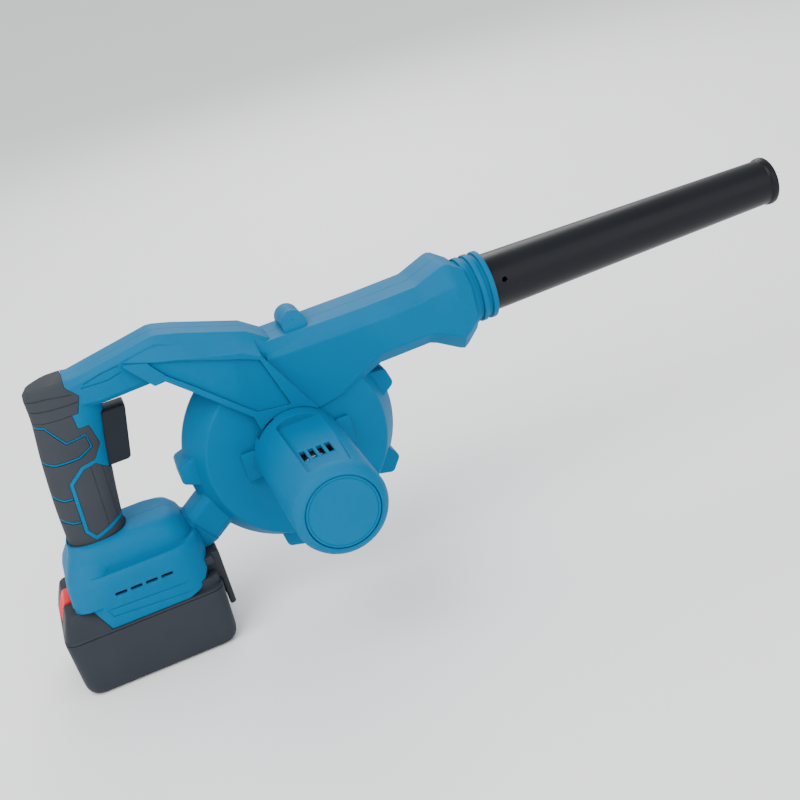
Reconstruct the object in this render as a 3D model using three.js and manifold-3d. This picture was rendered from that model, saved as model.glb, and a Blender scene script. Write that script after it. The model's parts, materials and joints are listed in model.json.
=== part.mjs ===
// Cordless leaf blower: a moulded clamshell with a round fan housing, a motor pod on its right
// side, an air intake on its left side, a long nozzle, a loop handle and a slide-on battery pack.
// Millimetres. +X points the way the air leaves, +Z up, -Y to the motor side.
// The origin is on the battery's flat underside, in the middle plane of the housing.
import * as THREE from 'three';
import { mergeVertices } from 'three/addons/utils/BufferGeometryUtils.js';
import Module from 'manifold-3d';

const wasm = await Module();
wasm.setup();

// ---------------------------------------------------------------- driving dimensions

const gap = 0.3; // between pieces that rest on each other
const wall = 2.5; // moulded housing wall
const panelWall = 1.8; // and its side panels
const halfGap = 0.15; // each housing half stops this far from the middle plane

// battery pack
const packFront = 57.5;
const packLength = 109.5;
const packWidth = 75;
const packCorner = 11;
const partingHeight = 41.5;
const packWall = 2;
const deckHeight = 50; // top of the deck that the tool's rails slide over
const packHalfWidth = packWidth / 2;
const deckInset = 4.6; // each side of the deck in from the pack's
const railInset = 5.9; // each rail in from the deck
const railLip = 5; // how far the rails stand out of their neck
const deckHalfWidth = packHalfWidth - deckInset;
const railHalfWidth = deckHalfWidth - railInset;
const railNeckHalfWidth = railHalfWidth - railLip;
const railHeight = 5.6;
const packTop = 62;
const slotSpacing = 24; // between the two terminal slots
const slotWidth = 3;
const slotRear = 14;
const cellDiameter = 18.3;
const cellEndGap = 3; // between a cell's end and the pack's wall
const cellLength = packWidth - 2 * (packWall + cellEndGap);
const cellPitch = 18.9;
const cellColumns = 5;
const boardThickness = 1.5;
const boardHalfWidth = railNeckHalfWidth - 2;
const buttonWidth = 20;
const buttonTravel = 3;

// fan housing
const drumX = 134.3;
const drumZ = 112.8;
const drumRimRadius = 73.5;
const drumFaceRadius = 61.8;
const drumHalfWidth = 24.6;
const intakeRadius = 34;
const intakeCollarHeight = 6;
const bossReach = 5.2; // how far the screw bosses stand out of the rim
const bossHalfDepth = 13;

// neck and outlet
const neckHalfWidth = 27;
const neckTop = 187.2;
const neckBottom = 146.2;
const collarTop = 196;
const collarBottom = 134.8;
const collarHalfWidth = 31;
const collarFront = 276;
const nozzleAxisZ = 166.7;
const nozzleRootRadius = 20;
const nozzleTipRadius = 16.1;
const nozzleWall = 2;
const nozzleRootX = 261;
const nozzleConeX = 298;
const nozzleTipX = 519;
const beadWidth = 5;
const beadHeight = 1.2;
const ribCount = 3;
const ribPitch = 7;
const ribWidth = 3.8;
const ribRadius = 23.8;
const sleeveRadius = 22;

// handle
const gripHalfWidth = 17;
const rubber = 2;
const beamHalfWidth = 17.5;
const wedgeRootY = 19.5; // how far the side panel stands from the middle plane at its rear end
const wedgeTipY = 30.2; // and where it passes over the fan housing
const bandWidth = 3;
const triggerHalfWidth = 8.5;
const triggerTravel = 6.5;
const triggerZ = 159; // height of the trigger's plunger and spring
const triggerInnerX = 13;
const switchFrontX = 4;
const switchSideGap = 4.5; // between the switch and the handle's inner wall
const switchHalfWidth = gripHalfWidth - rubber - wall - switchSideGap;

// foot
const footInset = 1.5; // each side of the foot in from the pack's
const footHalfWidth = packHalfWidth - footInset;
const footBottom = 43.5;
const footLedge = 80;
const footTop = 97.5;

// motor pod
const motorRadius = 21;
const wireSpace = 6.5; // between the motor and the pod
const podWall = 2.5;
const podRadius = motorRadius + wireSpace + podWall;
const podEndY = 133.5;
const podShoulder = 6.6; // from the pod's side in to the end cap
const podCapRadius = podRadius - podShoulder;
const podCapThickness = 2.2;
const ventCount = 4;
const ventWidth = 3.2;
const ventPitch = 5.5;

// motor and fan
const motorFrontY = 23;
const motorLength = 68;
const shaftRadius = 2.5;
const fanRadius = 56;
const bladeCount = 9;

// housing screws
const screwRadius = 1.5;
const screwHeadRadius = 3.2;
const screwHeadHeight = 2.4;
const screwSeatY = 8;
const screwDepth = 9.5;

// ---------------------------------------------------------------- shape helpers

const xAxis = new THREE.Vector3(1, 0, 0);
const yAxis = new THREE.Vector3(0, 1, 0);
const zAxis = new THREE.Vector3(0, 0, 1);

// A closed geometry as a solid, its faces turned outwards.
function solid(geometry) {
  const bare = new THREE.BufferGeometry();
  bare.setAttribute('position', geometry.getAttribute('position').clone());
  if (geometry.index) bare.setIndex(geometry.index.clone());
  const merged = mergeVertices(bare, 1e-4);
  const corners = merged.getAttribute('position').array;
  const index = merged.index.array;
  const faces = [];
  let volume = 0;
  const a = new THREE.Vector3();
  const b = new THREE.Vector3();
  const c = new THREE.Vector3();
  for (let i = 0; i < index.length; i += 3) {
    const [p, q, r] = [index[i], index[i + 1], index[i + 2]];
    if (p === q || q === r || r === p) continue;
    faces.push([p, q, r]);
    a.fromArray(corners, p * 3);
    b.fromArray(corners, q * 3);
    c.fromArray(corners, r * 3);
    volume += a.dot(b.cross(c));
  }
  const outward = volume > 0 ? faces : faces.map(([p, q, r]) => [p, r, q]);
  return new wasm.Manifold(new wasm.Mesh({
    numProp: 3,
    vertProperties: Float32Array.from(corners),
    triVerts: Uint32Array.from(outward.flat()),
  }));
}

const joined = (...solids) => solids.reduce((sum, next) => sum.add(next));
const cutBy = (body, ...tools) => tools.reduce((rest, tool) => rest.subtract(tool), body);

// Which way an outline's two axes and its depth point for a prism along x, y or z.
const prismFrames = {
  x: new THREE.Matrix4().makeBasis(yAxis, zAxis, xAxis),
  y: new THREE.Matrix4().makeBasis(xAxis, zAxis, yAxis.clone().negate()),
  z: new THREE.Matrix4(),
};

// A straight prism. Its outline is in (y, z), (x, z) or (x, y) for the axis x, y or z.
function prism(axis, outline, from, to) {
  const points = outline.map(([u, v]) => new THREE.Vector2(u, v));
  const options = { depth: to - from, bevelEnabled: false };
  const geometry = new THREE.ExtrudeGeometry(new THREE.Shape(points), options);
  geometry.applyMatrix4(prismFrames[axis]);
  const shift = { x: [from, 0, 0], y: [0, to, 0], z: [0, 0, from] }[axis];
  geometry.translate(...shift);
  return solid(geometry);
}

// A profile of [radius, distance along the axis] turned about an axis through centre.
function turned(axis, profile, centre = [0, 0, 0], sides = 32) {
  const points = profile.map(([radius, along]) => new THREE.Vector2(radius, along));
  const onAxis = profile[0][0] === 0 && profile.at(-1)[0] === 0;
  if (!onAxis) points.push(points[0].clone());
  const geometry = new THREE.LatheGeometry(points, sides);
  if (axis === 'x') geometry.rotateZ(-Math.PI / 2);
  if (axis === 'z') geometry.rotateX(Math.PI / 2);
  geometry.translate(...centre);
  return solid(geometry);
}

function rod(axis, radius, from, to, centre, sides) {
  return turned(axis, [[0, from], [radius, from], [radius, to], [0, to]], centre, sides);
}

function ring(axis, inner, outer, from, to, centre, sides) {
  return turned(axis, [[inner, from], [outer, from], [outer, to], [inner, to]], centre, sides);
}

function block(x0, x1, y0, y1, z0, z1) {
  const geometry = new THREE.BoxGeometry(x1 - x0, y1 - y0, z1 - z0);
  geometry.translate((x0 + x1) / 2, (y0 + y1) / 2, (z0 + z1) / 2);
  return solid(geometry);
}

// A skin through rings that all have the same number of points, closed by a flat end on each.
function loft(rings) {
  const count = rings[0].length;
  const index = [];
  for (let level = 0; level < rings.length - 1; level++) {
    for (let i = 0; i < count; i++) {
      const a = level * count + i;
      const b = level * count + (i + 1) % count;
      index.push(a, b, b + count, a, b + count, a + count);
    }
  }
  const last = (rings.length - 1) * count;
  for (let i = 1; i < count - 1; i++) {
    index.push(0, i + 1, i);
    index.push(last, last + i, last + i + 1);
  }
  const geometry = new THREE.BufferGeometry().setFromPoints(rings.flat());
  geometry.setIndex(index);
  return solid(geometry);
}

// An eight-sided ring in the plane at x, its corners cut by cutY and cutZ.
function octagonRing(x, low, high, halfWidth, cutY, cutZ, lowCutY = cutY, lowCutZ = cutZ) {
  const inner = halfWidth - cutY;
  const lowInner = halfWidth - lowCutY;
  const outline = [
    [lowInner, low], [halfWidth, low + lowCutZ], [halfWidth, high - cutZ], [inner, high],
    [-inner, high], [-halfWidth, high - cutZ], [-halfWidth, low + lowCutZ], [-lowInner, low],
  ];
  return outline.map(([y, z]) => new THREE.Vector3(x, y, z));
}

// A level ring at height z: a rectangle with round corners.
function roundedRing(z, x0, x1, halfWidth, radius, steps = 4) {
  const corners = [[x1, halfWidth, 0], [x0, halfWidth, 1], [x0, -halfWidth, 2], [x1, -halfWidth, 3]];
  return corners.flatMap(([x, y, quarter]) => {
    const centreX = x === x1 ? x1 - radius : x0 + radius;
    const centreY = y - Math.sign(y) * radius;
    return Array.from({ length: steps + 1 }, (_, i) => {
      const angle = (quarter + i / steps) * Math.PI / 2;
      return new THREE.Vector3(centreX + radius * Math.cos(angle), centreY + radius * Math.sin(angle), z);
    });
  });
}

// A level oval ring at height z, squarer than an ellipse, for the grip.
function ovalRing(z, rear, front, halfWidth, sides = 16) {
  const squareness = 0.85;
  const rounded = (value) => Math.sign(value) * Math.abs(value) ** squareness;
  return Array.from({ length: sides }, (_, i) => {
    const angle = i / sides * Math.PI * 2;
    const x = (rear + front) / 2 + (front - rear) / 2 * rounded(Math.cos(angle));
    return new THREE.Vector3(x, halfWidth * rounded(Math.sin(angle)), z);
  });
}

// An outline moved outwards by a distance; inwards where the distance is negative.
function grown(outline, distance) {
  const area = outline.reduce((sum, [x, y], i) => {
    const [nextX, nextY] = outline[(i + 1) % outline.length];
    return sum + x * nextY - nextX * y;
  }, 0);
  const side = Math.sign(area) * distance;
  return outline.map(([x, y], i) => {
    const [lastX, lastY] = outline.at(i - 1);
    const [nextX, nextY] = outline[(i + 1) % outline.length];
    const before = new THREE.Vector2(x - lastX, y - lastY).normalize();
    const after = new THREE.Vector2(nextX - x, nextY - y).normalize();
    const normal = new THREE.Vector2(before.y + after.y, -before.x - after.x).normalize();
    const reach = side / Math.max(0.4, normal.x * before.y - normal.y * before.x);
    return [x + normal.x * reach, y + normal.y * reach];
  });
}

// A round wire or coil swept along a curve.
function swept(curve, radius, steps, sides) {
  const section = new THREE.Shape(Array.from({ length: sides }, (_, i) => {
    const angle = i / sides * Math.PI * 2;
    return new THREE.Vector2(radius * Math.cos(angle), radius * Math.sin(angle));
  }));
  return solid(new THREE.ExtrudeGeometry(section, { steps, extrudePath: curve, bevelEnabled: false }));
}

class Helix extends THREE.Curve {
  constructor(axis, centre, radius, length, turns) {
    super();
    Object.assign(this, { axis, centre, radius, length, turns });
  }

  getPoint(t) {
    const angle = t * this.turns * Math.PI * 2;
    const across = [this.radius * Math.cos(angle), this.radius * Math.sin(angle)];
    const along = t * this.length;
    const [x, y, z] = this.centre;
    if (this.axis === 'x') return new THREE.Vector3(x + along, y + across[0], z + across[1]);
    return new THREE.Vector3(x + across[0], y + across[1], z + along);
  }
}

const coil = (axis, centre, radius, wire, length, turns) =>
  swept(new Helix(axis, centre, radius, length, turns), wire, turns * 7, 4);

// ---------------------------------------------------------------- the object and its pieces

const blower = new THREE.Group();

const finishes = {
  shell: { color: 0x1e8fb8, roughness: 0.6, metalness: 0 },
  nozzle: { color: 0x15161a, roughness: 0.35, metalness: 0 },
  rubber: { color: 0x47484d, roughness: 0.85, metalness: 0 },
  pack: { color: 0x3c4046, roughness: 0.5, metalness: 0 },
  red: { color: 0xe8475a, roughness: 0.4, metalness: 0 },
  steel: { color: 0x9a9da1, roughness: 0.35, metalness: 1 },
  magnet: { color: 0x3a3a3c, roughness: 0.7, metalness: 0.2 },
  copper: { color: 0xb87333, roughness: 0.35, metalness: 1 },
  brass: { color: 0xc8a24a, roughness: 0.3, metalness: 1 },
  board: { color: 0x1f6b3a, roughness: 0.5, metalness: 0 },
  cell: { color: 0x2f6fb5, roughness: 0.4, metalness: 0.1 },
  black: { color: 0x1b1c1f, roughness: 0.6, metalness: 0 },
  fan: { color: 0x222428, roughness: 0.5, metalness: 0 },
};

function piece(name, body, finish) {
  const mesh = body.getMesh();
  const geometry = new THREE.BufferGeometry();
  geometry.setAttribute('position', new THREE.BufferAttribute(Float32Array.from(mesh.vertProperties), 3));
  geometry.setIndex(Array.from(mesh.triVerts));
  geometry.computeVertexNormals();
  const part = new THREE.Mesh(geometry, new THREE.MeshStandardMaterial(finishes[finish]));
  part.name = name;
  blower.add(part);
}

// ---------------------------------------------------------------- battery pack

const packRear = packFront - packLength;
const packMiddle = packFront - packLength / 2;
const packOutline = (z, endInset, sideInset = endInset) => roundedRing(
  z, packRear + endInset, packFront - endInset, packHalfWidth - sideInset, packCorner - sideInset);

const lowerCase = cutBy(
  loft([
    packOutline(0, 7, 3.6), packOutline(2.6, 3.2, 1.2), packOutline(8, 1.4, 0.2), packOutline(partingHeight, 0),
  ]),
  loft([
    packOutline(packWall, 7, packWall + 2), packOutline(8, packWall + 1.4, packWall + 0.4),
    packOutline(partingHeight + 1, packWall),
  ]),
);
piece('battery_lower_case', lowerCase, 'pack');

// The upper case: a slim base on the parting line, the deck, the rails, a hump with the button
// at the rear and a bumper at the front.
const baseZ = partingHeight + gap;
const skirtClearZ = footBottom - gap; // outside the deck nothing reaches above this
const humpTop = 59.5;
const humpSlopeBottom = packRear + 0.6;
const humpSlopeTop = packRear + 7;
// The foot's skirt is cut away at the rear along this line, and the hump stands free behind it.
const humpOpeningOutline = [
  [-60, humpTop + gap], [-27, humpTop + gap], [-19.3, footBottom], [-19.3, 30], [-60, 30],
];
const humpFront = 5;
const hump = loft([
  roundedRing(skirtClearZ - 0.2, humpSlopeBottom, humpFront, packHalfWidth - 1, packCorner),
  roundedRing(deckHeight, packRear + 3, humpFront, deckHalfWidth + 1.5, 9),
  roundedRing(humpTop, humpSlopeTop, humpFront, railHalfWidth + 3, 6),
]).intersect(prism('y', grown(humpOpeningOutline, -gap - 0.2), -60, 60));
const bumper = prism('y', [
  [packFront - 4, skirtClearZ - 1], [packFront + gap, skirtClearZ - 1],
  [packFront + gap, 19], [packFront + 4.5, 20], [packFront + 4.5, packTop - 2],
  [packFront + 3, packTop], [packFront - 4, packTop],
], -railNeckHalfWidth, railNeckHalfWidth);
const railNeckTop = packTop - railHeight;
const upperSolid = joined(
  loft([packOutline(baseZ, 0.1), packOutline(skirtClearZ, 0.9)]),
  loft([
    roundedRing(skirtClearZ - 0.2, packRear + 4, packFront - 1, deckHalfWidth, 10),
    roundedRing(deckHeight, packRear + 6, packFront - 1.5, deckHalfWidth, 10),
  ]),
  block(-28, packFront - 1, -railNeckHalfWidth, railNeckHalfWidth, deckHeight - 1, railNeckTop + 1),
  block(-28, packFront - 1, -railHalfWidth, railHalfWidth, railNeckTop, packTop),
  hump,
  bumper,
);
const cellFloor = packWall + 1.5;
const cellsTop = cellFloor + cellDiameter + cellPitch;
const terminalSlot = (side) => block(
  slotRear, packFront + 10,
  side * slotSpacing / 2 - slotWidth / 2, side * slotSpacing / 2 + slotWidth / 2,
  deckHeight - 3.5, packTop + 1);
const pocketFloor = skirtClearZ + 1.4;
const pocketBack = packRear + 13;
const buttonHalfWidth = buttonWidth / 2;
const buttonPocket = block(
  packRear - 5, pocketBack, -buttonHalfWidth - 0.4, buttonHalfWidth + 0.4,
  pocketFloor, humpTop + 8);
const upperCase = cutBy(
  upperSolid,
  loft([
    roundedRing(baseZ - 1, -40, packFront - 8, deckHalfWidth - packWall, 8),
    roundedRing(deckHeight - 3, -40, packFront - 8, deckHalfWidth - packWall, 8),
  ]),
  terminalSlot(1),
  terminalSlot(-1),
  buttonPocket,
);
piece('battery_upper_case', upperCase, 'pack');

const slopeX = (z) => humpSlopeBottom
  + (z - skirtClearZ) / (humpTop - skirtClearZ) * (humpSlopeTop - humpSlopeBottom);
const buttonBottom = pocketFloor + buttonTravel + 0.6;
const buttonTop = humpTop + 1.5;
const springHole = 3.4;
const springX = (slopeX(buttonBottom) + pocketBack) / 2;
const springHoleTop = buttonBottom + 5.5;
const button = cutBy(
  prism('y', [
    [slopeX(buttonBottom) - 0.8, buttonBottom], [slopeX(buttonTop) - 0.8, buttonTop - 2],
    [slopeX(buttonTop) + 0.8, buttonTop], [pocketBack - 0.4, buttonTop],
    [pocketBack - 0.4, buttonBottom],
  ], -buttonHalfWidth, buttonHalfWidth),
  rod('z', springHole, buttonBottom - 1, springHoleTop, [springX, 0, 0], 16),
);
piece('battery_button', button, 'red');

const buttonWire = 0.45;
const buttonSpringLow = pocketFloor + buttonWire + gap;
const buttonSpring = coil(
  'z', [springX, 0, buttonSpringLow], springHole - 1, buttonWire,
  springHoleTop - buttonWire - gap - buttonSpringLow, 4);
piece('button_spring', buttonSpring, 'steel');

for (let layer = 0; layer < 2; layer++) {
  for (let column = 0; column < cellColumns; column++) {
    const x = packMiddle + (column - (cellColumns - 1) / 2) * cellPitch;
    const z = cellFloor + cellDiameter / 2 + layer * cellPitch;
    const cell = turned('y', [
      [0, -cellLength / 2], [cellDiameter / 2, -cellLength / 2],
      [cellDiameter / 2, cellLength / 2 - 1.5], [3, cellLength / 2 - 1.5],
      [3, cellLength / 2], [0, cellLength / 2],
    ], [x, 0, z], 12);
    piece(`cell_${layer + 1}_${column + 1}`, cell, 'cell');
  }
}
const boardBottom = cellsTop + gap;
const packBoard = block(
  -30, 42, -boardHalfWidth, boardHalfWidth, boardBottom, boardBottom + boardThickness);
piece('battery_board', packBoard, 'board');

const bladeThickness = 0.8;
const contact = (side) => {
  const inner = slotSpacing / 2 + bladeThickness / 2 + 0.25;
  const outer = slotSpacing / 2 + slotWidth / 2 - 0.2;
  const [y0, y1] = side > 0 ? [inner, outer] : [-outer, -inner];
  return block(20, 36, y0, y1, boardBottom + boardThickness + gap, railNeckTop + 3);
};
piece('battery_contact_plus', contact(1), 'copper');
piece('battery_contact_minus', contact(-1), 'copper');

// ---------------------------------------------------------------- housing outer shapes

// Each outer shape takes an inset, so that the same function also gives its hollow.
const drum = (inset) => turned('y', [
  [0, -drumHalfWidth + inset], [drumFaceRadius - inset * 0.6, -drumHalfWidth + inset],
  [drumRimRadius - inset, -1.5], [drumRimRadius - inset, 1.5],
  [drumFaceRadius - inset * 0.6, drumHalfWidth - inset], [0, drumHalfWidth - inset],
], [drumX, 0, drumZ], 32);

const collarCrestX = 264;
const flareX = 241;
const neck = (inset) => loft([
  octagonRing(drumX - 2, drumZ + 14, neckTop - inset, drumHalfWidth + 0.4 - inset, 8.4, 9.3, 2, 2),
  octagonRing(172, neckBottom - 12 + inset, neckTop - inset, neckHalfWidth - 0.6 - inset, 8.4, 9.3, 4, 4),
  octagonRing(205, neckBottom + inset, neckTop - inset, neckHalfWidth - inset, 8.4, 9.3),
  octagonRing(flareX, neckBottom + 0.8 + inset, neckTop + 1 - inset, neckHalfWidth - inset, 8.4, 9.3),
]);
const neckCollar = () => loft([
  octagonRing(flareX - 0.5, neckBottom + 0.8, neckTop + 1, neckHalfWidth, 8.4, 9.3),
  octagonRing(collarCrestX, collarBottom, collarTop, collarHalfWidth, 12, 13),
  octagonRing(collarFront, collarBottom + 10, collarTop - 7.5, collarHalfWidth - 4, 9, 10),
]);

const beamRearX = -6;
const beam = (inset) => loft([
  octagonRing(beamRearX + inset, 188 + inset, 203 - inset, beamHalfWidth - 3 - inset, 3, 3),
  octagonRing(24, 184.5 + inset, 207.8 - inset, beamHalfWidth - 1 - inset, 3, 3.4),
  octagonRing(68, 186.5 + inset, 215.5 - inset, beamHalfWidth - inset, 3.5, 4),
  octagonRing(84, 172 + inset, 212 - inset, beamHalfWidth + 2 - inset, 6, 7),
  octagonRing(126, 150 + inset, 197.5 - inset, beamHalfWidth + 5 - inset, 9, 10),
  octagonRing(150, 150 + inset, 180 - inset, beamHalfWidth + 5 - inset, 9, 10),
]);

const wedgeOutline = [
  [44, 206], [60, 186.5], [67, 187.5], [80, 176], [112.4, 146], [114.6, 133.5],
  [135, 128], [156, 132.5], [129, 183.5], [118, 190],
];
const wedgeRearX = 40;
const wedgeFullX = 108;
const wedgeFrontX = 160;
const wedge = (side, inset) => {
  const plan = [
    [wedgeRearX, 0], [wedgeFrontX, 0], [wedgeFrontX, side * (wedgeTipY - inset)],
    [wedgeFullX, side * (wedgeTipY - inset)], [wedgeRearX, side * (wedgeRootY - inset)],
  ];
  return prism('y', grown(wedgeOutline, -inset), -45, 45).intersect(prism('z', plan, 90, 240));
};

// The left side panel stops short of the intake's collar.
// Above each panel a slope leads up to the beam's flat top.
const shoulderStations = [
  [46, 206, 211.6, 17], [66, 201.3, 215.2, 23.6], [84, 197.4, 212, 26.4], [108, 192.2, 203.8, 30.2],
  [118, 190, 200.3, 30.2], [129, 183.5, 194, 30.2],
];
const shoulder = (side) => loft(shoulderStations.map(([x, panelTop, beamTop, panelY]) => [
  [6, beamTop - 3], [13.4, beamTop - 0.3], [panelY, panelTop], [12, panelTop - 8],
].map(([y, z]) => new THREE.Vector3(x, side * y, z))));
const leftWedge = (inset) => wedge(1, inset).subtract(
  rod('y', intakeRadius + 14 + inset, 0, 60, [drumX, 0, drumZ], 24));

const gripStations = [
  [84, -27, 10.5, -0.5], [97, -27.2, 11.4, -0.5], [120, -26.6, 14.4, 0], [140, -25.2, 17.6, 0],
  [160, -23.2, 21.2, 0], [184, -20, 26.4, -0.5], [199, -19.6, 27.5, -1.5],
];
const grip = (inset) => {
  const rings = gripStations.map(([z, rear, front, wider]) =>
    ovalRing(z, rear + inset, front - inset, gripHalfWidth + wider - inset));
  rings.push(ovalRing(206.8 - inset, -10 + inset, 14 - inset, gripHalfWidth - 4 - inset));
  return loft(rings);
};

const domeHalfWidth = footHalfWidth - 8.5;
const footCollarHalfWidth = gripHalfWidth + 1.5;
const shoulderHalfWidth = footCollarHalfWidth + (domeHalfWidth - footCollarHalfWidth) * 2 / 3;
const footStations = [
  [footBottom, -38.5, 54, footHalfWidth, 22], [66, -39, 55, footHalfWidth, 24],
  [footLedge - 1, -36, 54.5, footHalfWidth - 1, 24], [footLedge + 2, -34, 52, domeHalfWidth, 20],
  [91, -30.5, 47, shoulderHalfWidth, 18], [footTop, -28, 38, footCollarHalfWidth, 15],
];
const foot = (inset) => loft(footStations.map(([z, rear, front, halfWidth, corner], i) =>
  roundedRing(i ? z - inset : z - (inset ? 1 : 0), rear + inset, front - inset,
    halfWidth - inset, corner - inset)));
const humpOpening = prism('y', humpOpeningOutline, -60, 60);

const strutLow = new THREE.Vector3(46, 0, 66.5);
const strutHigh = new THREE.Vector3(92, 0, 98.8);
const strut = (inset) => {
  const along = strutHigh.clone().sub(strutLow).normalize();
  const up = new THREE.Vector3(-along.z, 0, along.x);
  const height = 14.5 - inset;
  const width = 13 - inset;
  const corner = 5;
  const outline = [
    [height - corner, width], [height, width - corner], [height, corner - width],
    [height - corner, -width], [corner - height, -width], [-height, corner - width],
    [-height, width - corner], [corner - height, width],
  ];
  return loft([strutLow, strutHigh].map((end) => outline.map(([rise, y]) =>
    end.clone().addScaledVector(up, rise).setY(y))));
};

// ---------------------------------------------------------------- screw bosses

const rimBossAngles = [176.7, -35, 14.8, -104.5].map(THREE.MathUtils.degToRad);
const rimBossCentre = (angle, distance) => [
  drumX + distance * Math.cos(angle), drumZ + distance * Math.sin(angle)];
const rimBoss = (angle) => {
  const outline = [
    [-18, -15], [bossReach - 1.6, -7], [bossReach, -5], [bossReach, 5], [bossReach - 1.6, 7], [-18, 15],
  ];
  const [cos, sin] = [Math.cos(angle), Math.sin(angle)];
  return prism('y', outline.map(([out, across]) => [
    drumX + (drumRimRadius + out) * cos - across * sin,
    drumZ + (drumRimRadius + out) * sin + across * cos,
  ]), -bossHalfDepth, bossHalfDepth);
};
const neckBossX = 158;
const neckBossRadius = 8.3;
const neckBoss = rod('y', neckBossRadius, -bossHalfDepth, bossHalfDepth, [neckBossX, 0, neckTop + 2.5], 20);
const innerBossRadius = 4.4;
const innerBosses = [[52, 205.6], [40, 87]];
const screwPlaces = [
  ...rimBossAngles.map((angle) => rimBossCentre(angle, drumRimRadius + 1)),
  [neckBossX, neckTop + 3.5],
  ...innerBosses,
];

// ---------------------------------------------------------------- housing halves

const outerShape = joined(
  drum(0), neck(0), neckCollar(), beam(0), wedge(-1, 0), leftWedge(0), shoulder(-1), shoulder(1), grip(0),
  cutBy(foot(0), humpOpening), strut(0), neckBoss, ...rimBossAngles.map(rimBoss),
);
const airWay = joined(drum(wall), neck(wall), rod('x', sleeveRadius - 4, flareX - 2, 258, [0, 0, nozzleAxisZ], 24));
const handleHollow = joined(
  beam(wall), wedge(-1, panelWall), leftWedge(panelWall), grip(rubber + wall + 0.3), foot(wall), strut(wall),
).subtract(drum(0)).subtract(neck(0));

// The way that the pack's deck and rails slide in, front to back through the foot.
const packWay = joined(
  block(-60, 80, -deckHalfWidth - 0.4, deckHalfWidth + 0.4, footBottom - 5, deckHeight + 0.4),
  block(-60, 80, -railNeckHalfWidth - 0.4, railNeckHalfWidth + 0.4, deckHeight, railNeckTop + 1),
  block(-60, 80, -railHalfWidth - 0.4, railHalfWidth + 0.4, railNeckTop - 0.4, packTop + 0.4),
);
// The intake cover turns on the left face, clear of the neck's side. The flats of a bore with
// this many sides are kept clear of the corners of the round piece inside it.
const coverSides = 24;
const clearOf = (radius, sides) => radius / Math.cos(Math.PI / sides) + gap;
const coverInner = clearOf(intakeRadius + wall, coverSides);
const coverOuter = coverInner + 3;
const coverWay = rod(
  'y', clearOf(coverOuter, coverSides), drumHalfWidth, 60, [drumX, 0, drumZ], coverSides);

// Rails inside the foot that hold the pack's flanges from below.
const railInner = railNeckHalfWidth + 0.4;
const skirtInner = footHalfWidth - wall;
const rail = (side) => {
  const [y0, y1] = side > 0 ? [railInner, skirtInner + 1] : [-skirtInner - 1, -railInner];
  return block(-22.5, 38, y0, y1, deckHeight + 0.4, railNeckTop - 0.4);
};

// The trigger and its mouth in the front of the grip.
const triggerTop = 177.2;
const triggerBottom = 140.6;
const triggerOutline = [
  [triggerInnerX, triggerBottom], [29, triggerBottom], [30.8, triggerBottom + 1.4],
  [38.8, triggerTop], [triggerInnerX, triggerTop],
];
const triggerMouth = block(
  triggerInnerX - triggerTravel - 1, 60, -triggerHalfWidth - 0.4, triggerHalfWidth + 0.4,
  triggerBottom - 0.4, triggerTop + 0.4);

// Rubber zones on the grip, seen from the side.
const padOutline = [
  [-9, 140], [0.5, 147.8], [8.5, 148.6], [15, 141.5], [28, 141.5], [28, 107.5], [8, 106.5],
  [-7.5, 101.5], [-11, 106.5],
];
const wrapOutline = [
  [-40, 184.6], [5.6, 184.6], [6, 175], [13.2, 174.5], [15.5, 160], [8, 150.5], [8, 140],
  [34, 140], [34, 88], [-40, 88],
];
const capOutline = [
  [-40, 184.9], [9.8, 184.9], [14, 195.3], [7.4, 203.2], [8.6, 230], [-40, 230],
];
const zone = (outline, extra = 0) => prism('y', grown(outline, extra), -40, 40);
const gripBottom = 96; // the foot's collar starts below this
const aboveCollar = block(-60, 60, -40, 40, gripBottom, 230);
const handle = (inset) => joined(grip(inset), beam(inset));
const skin = handle(0).subtract(handle(rubber));
const fatSkin = handle(-1).subtract(handle(rubber + gap));
const band = zone(padOutline, bandWidth);
const wrap = skin.intersect(zone(wrapOutline)).subtract(band).intersect(aboveCollar);
const pad = skin.intersect(zone(padOutline)).subtract(triggerMouth);
const cap = skin.intersect(zone(capOutline));
const rubberPockets = [
  fatSkin.intersect(zone(wrapOutline, gap)).subtract(zone(padOutline, bandWidth - gap))
    .intersect(block(-60, 60, -40, 40, gripBottom - gap, 230)),
  fatSkin.intersect(zone(padOutline, gap)),
  fatSkin.intersect(zone(capOutline, gap)),
];

// The pod's seat, the intake and the outlet.
const motorHole = rod('y', motorRadius + 1, -drumHalfWidth - 12, -drumHalfWidth + wall + 2, [drumX, 0, drumZ], 24);
const podSeat = rod('y', podRadius + gap, -60, -drumHalfWidth, [drumX, 0, drumZ], 32);
const intakeHole = rod('y', intakeRadius, drumHalfWidth - wall - 2, 60, [drumX, 0, drumZ], coverSides);
const intakeCollar = ring(
  'y', intakeRadius - 1, intakeRadius + wall, drumHalfWidth - 1, drumHalfWidth + intakeCollarHeight,
  [drumX, 0, drumZ], coverSides);
const sleeveSeat = joined(
  rod('x', sleeveRadius + gap, 256, collarFront + 5, [0, 0, nozzleAxisZ], 24),
  rod('x', sleeveRadius + 2 + gap, 257, 260.6, [0, 0, nozzleAxisZ], 24),
);

const footSlots = Array.from({ length: 4 }, (_, i) => {
  const x = -10 + i * 10.4;
  return block(x, x + 8, -footHalfWidth - 5, -footHalfWidth + wall + 4, 65, 67);
});

const bossPosts = innerBosses.map(([x, z]) => rod('y', innerBossRadius, -30, 30, [x, 0, z], 12))
  .map((post) => post.intersect(outerShape));

const screwHoles = screwPlaces.flatMap(([x, z]) => [
  rod('y', screwRadius + gap, -screwDepth - gap, screwSeatY + 1, [x, 0, z], 8),
  rod('y', screwHeadRadius + gap, screwSeatY, 60, [x, 0, z], 8),
]);

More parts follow.
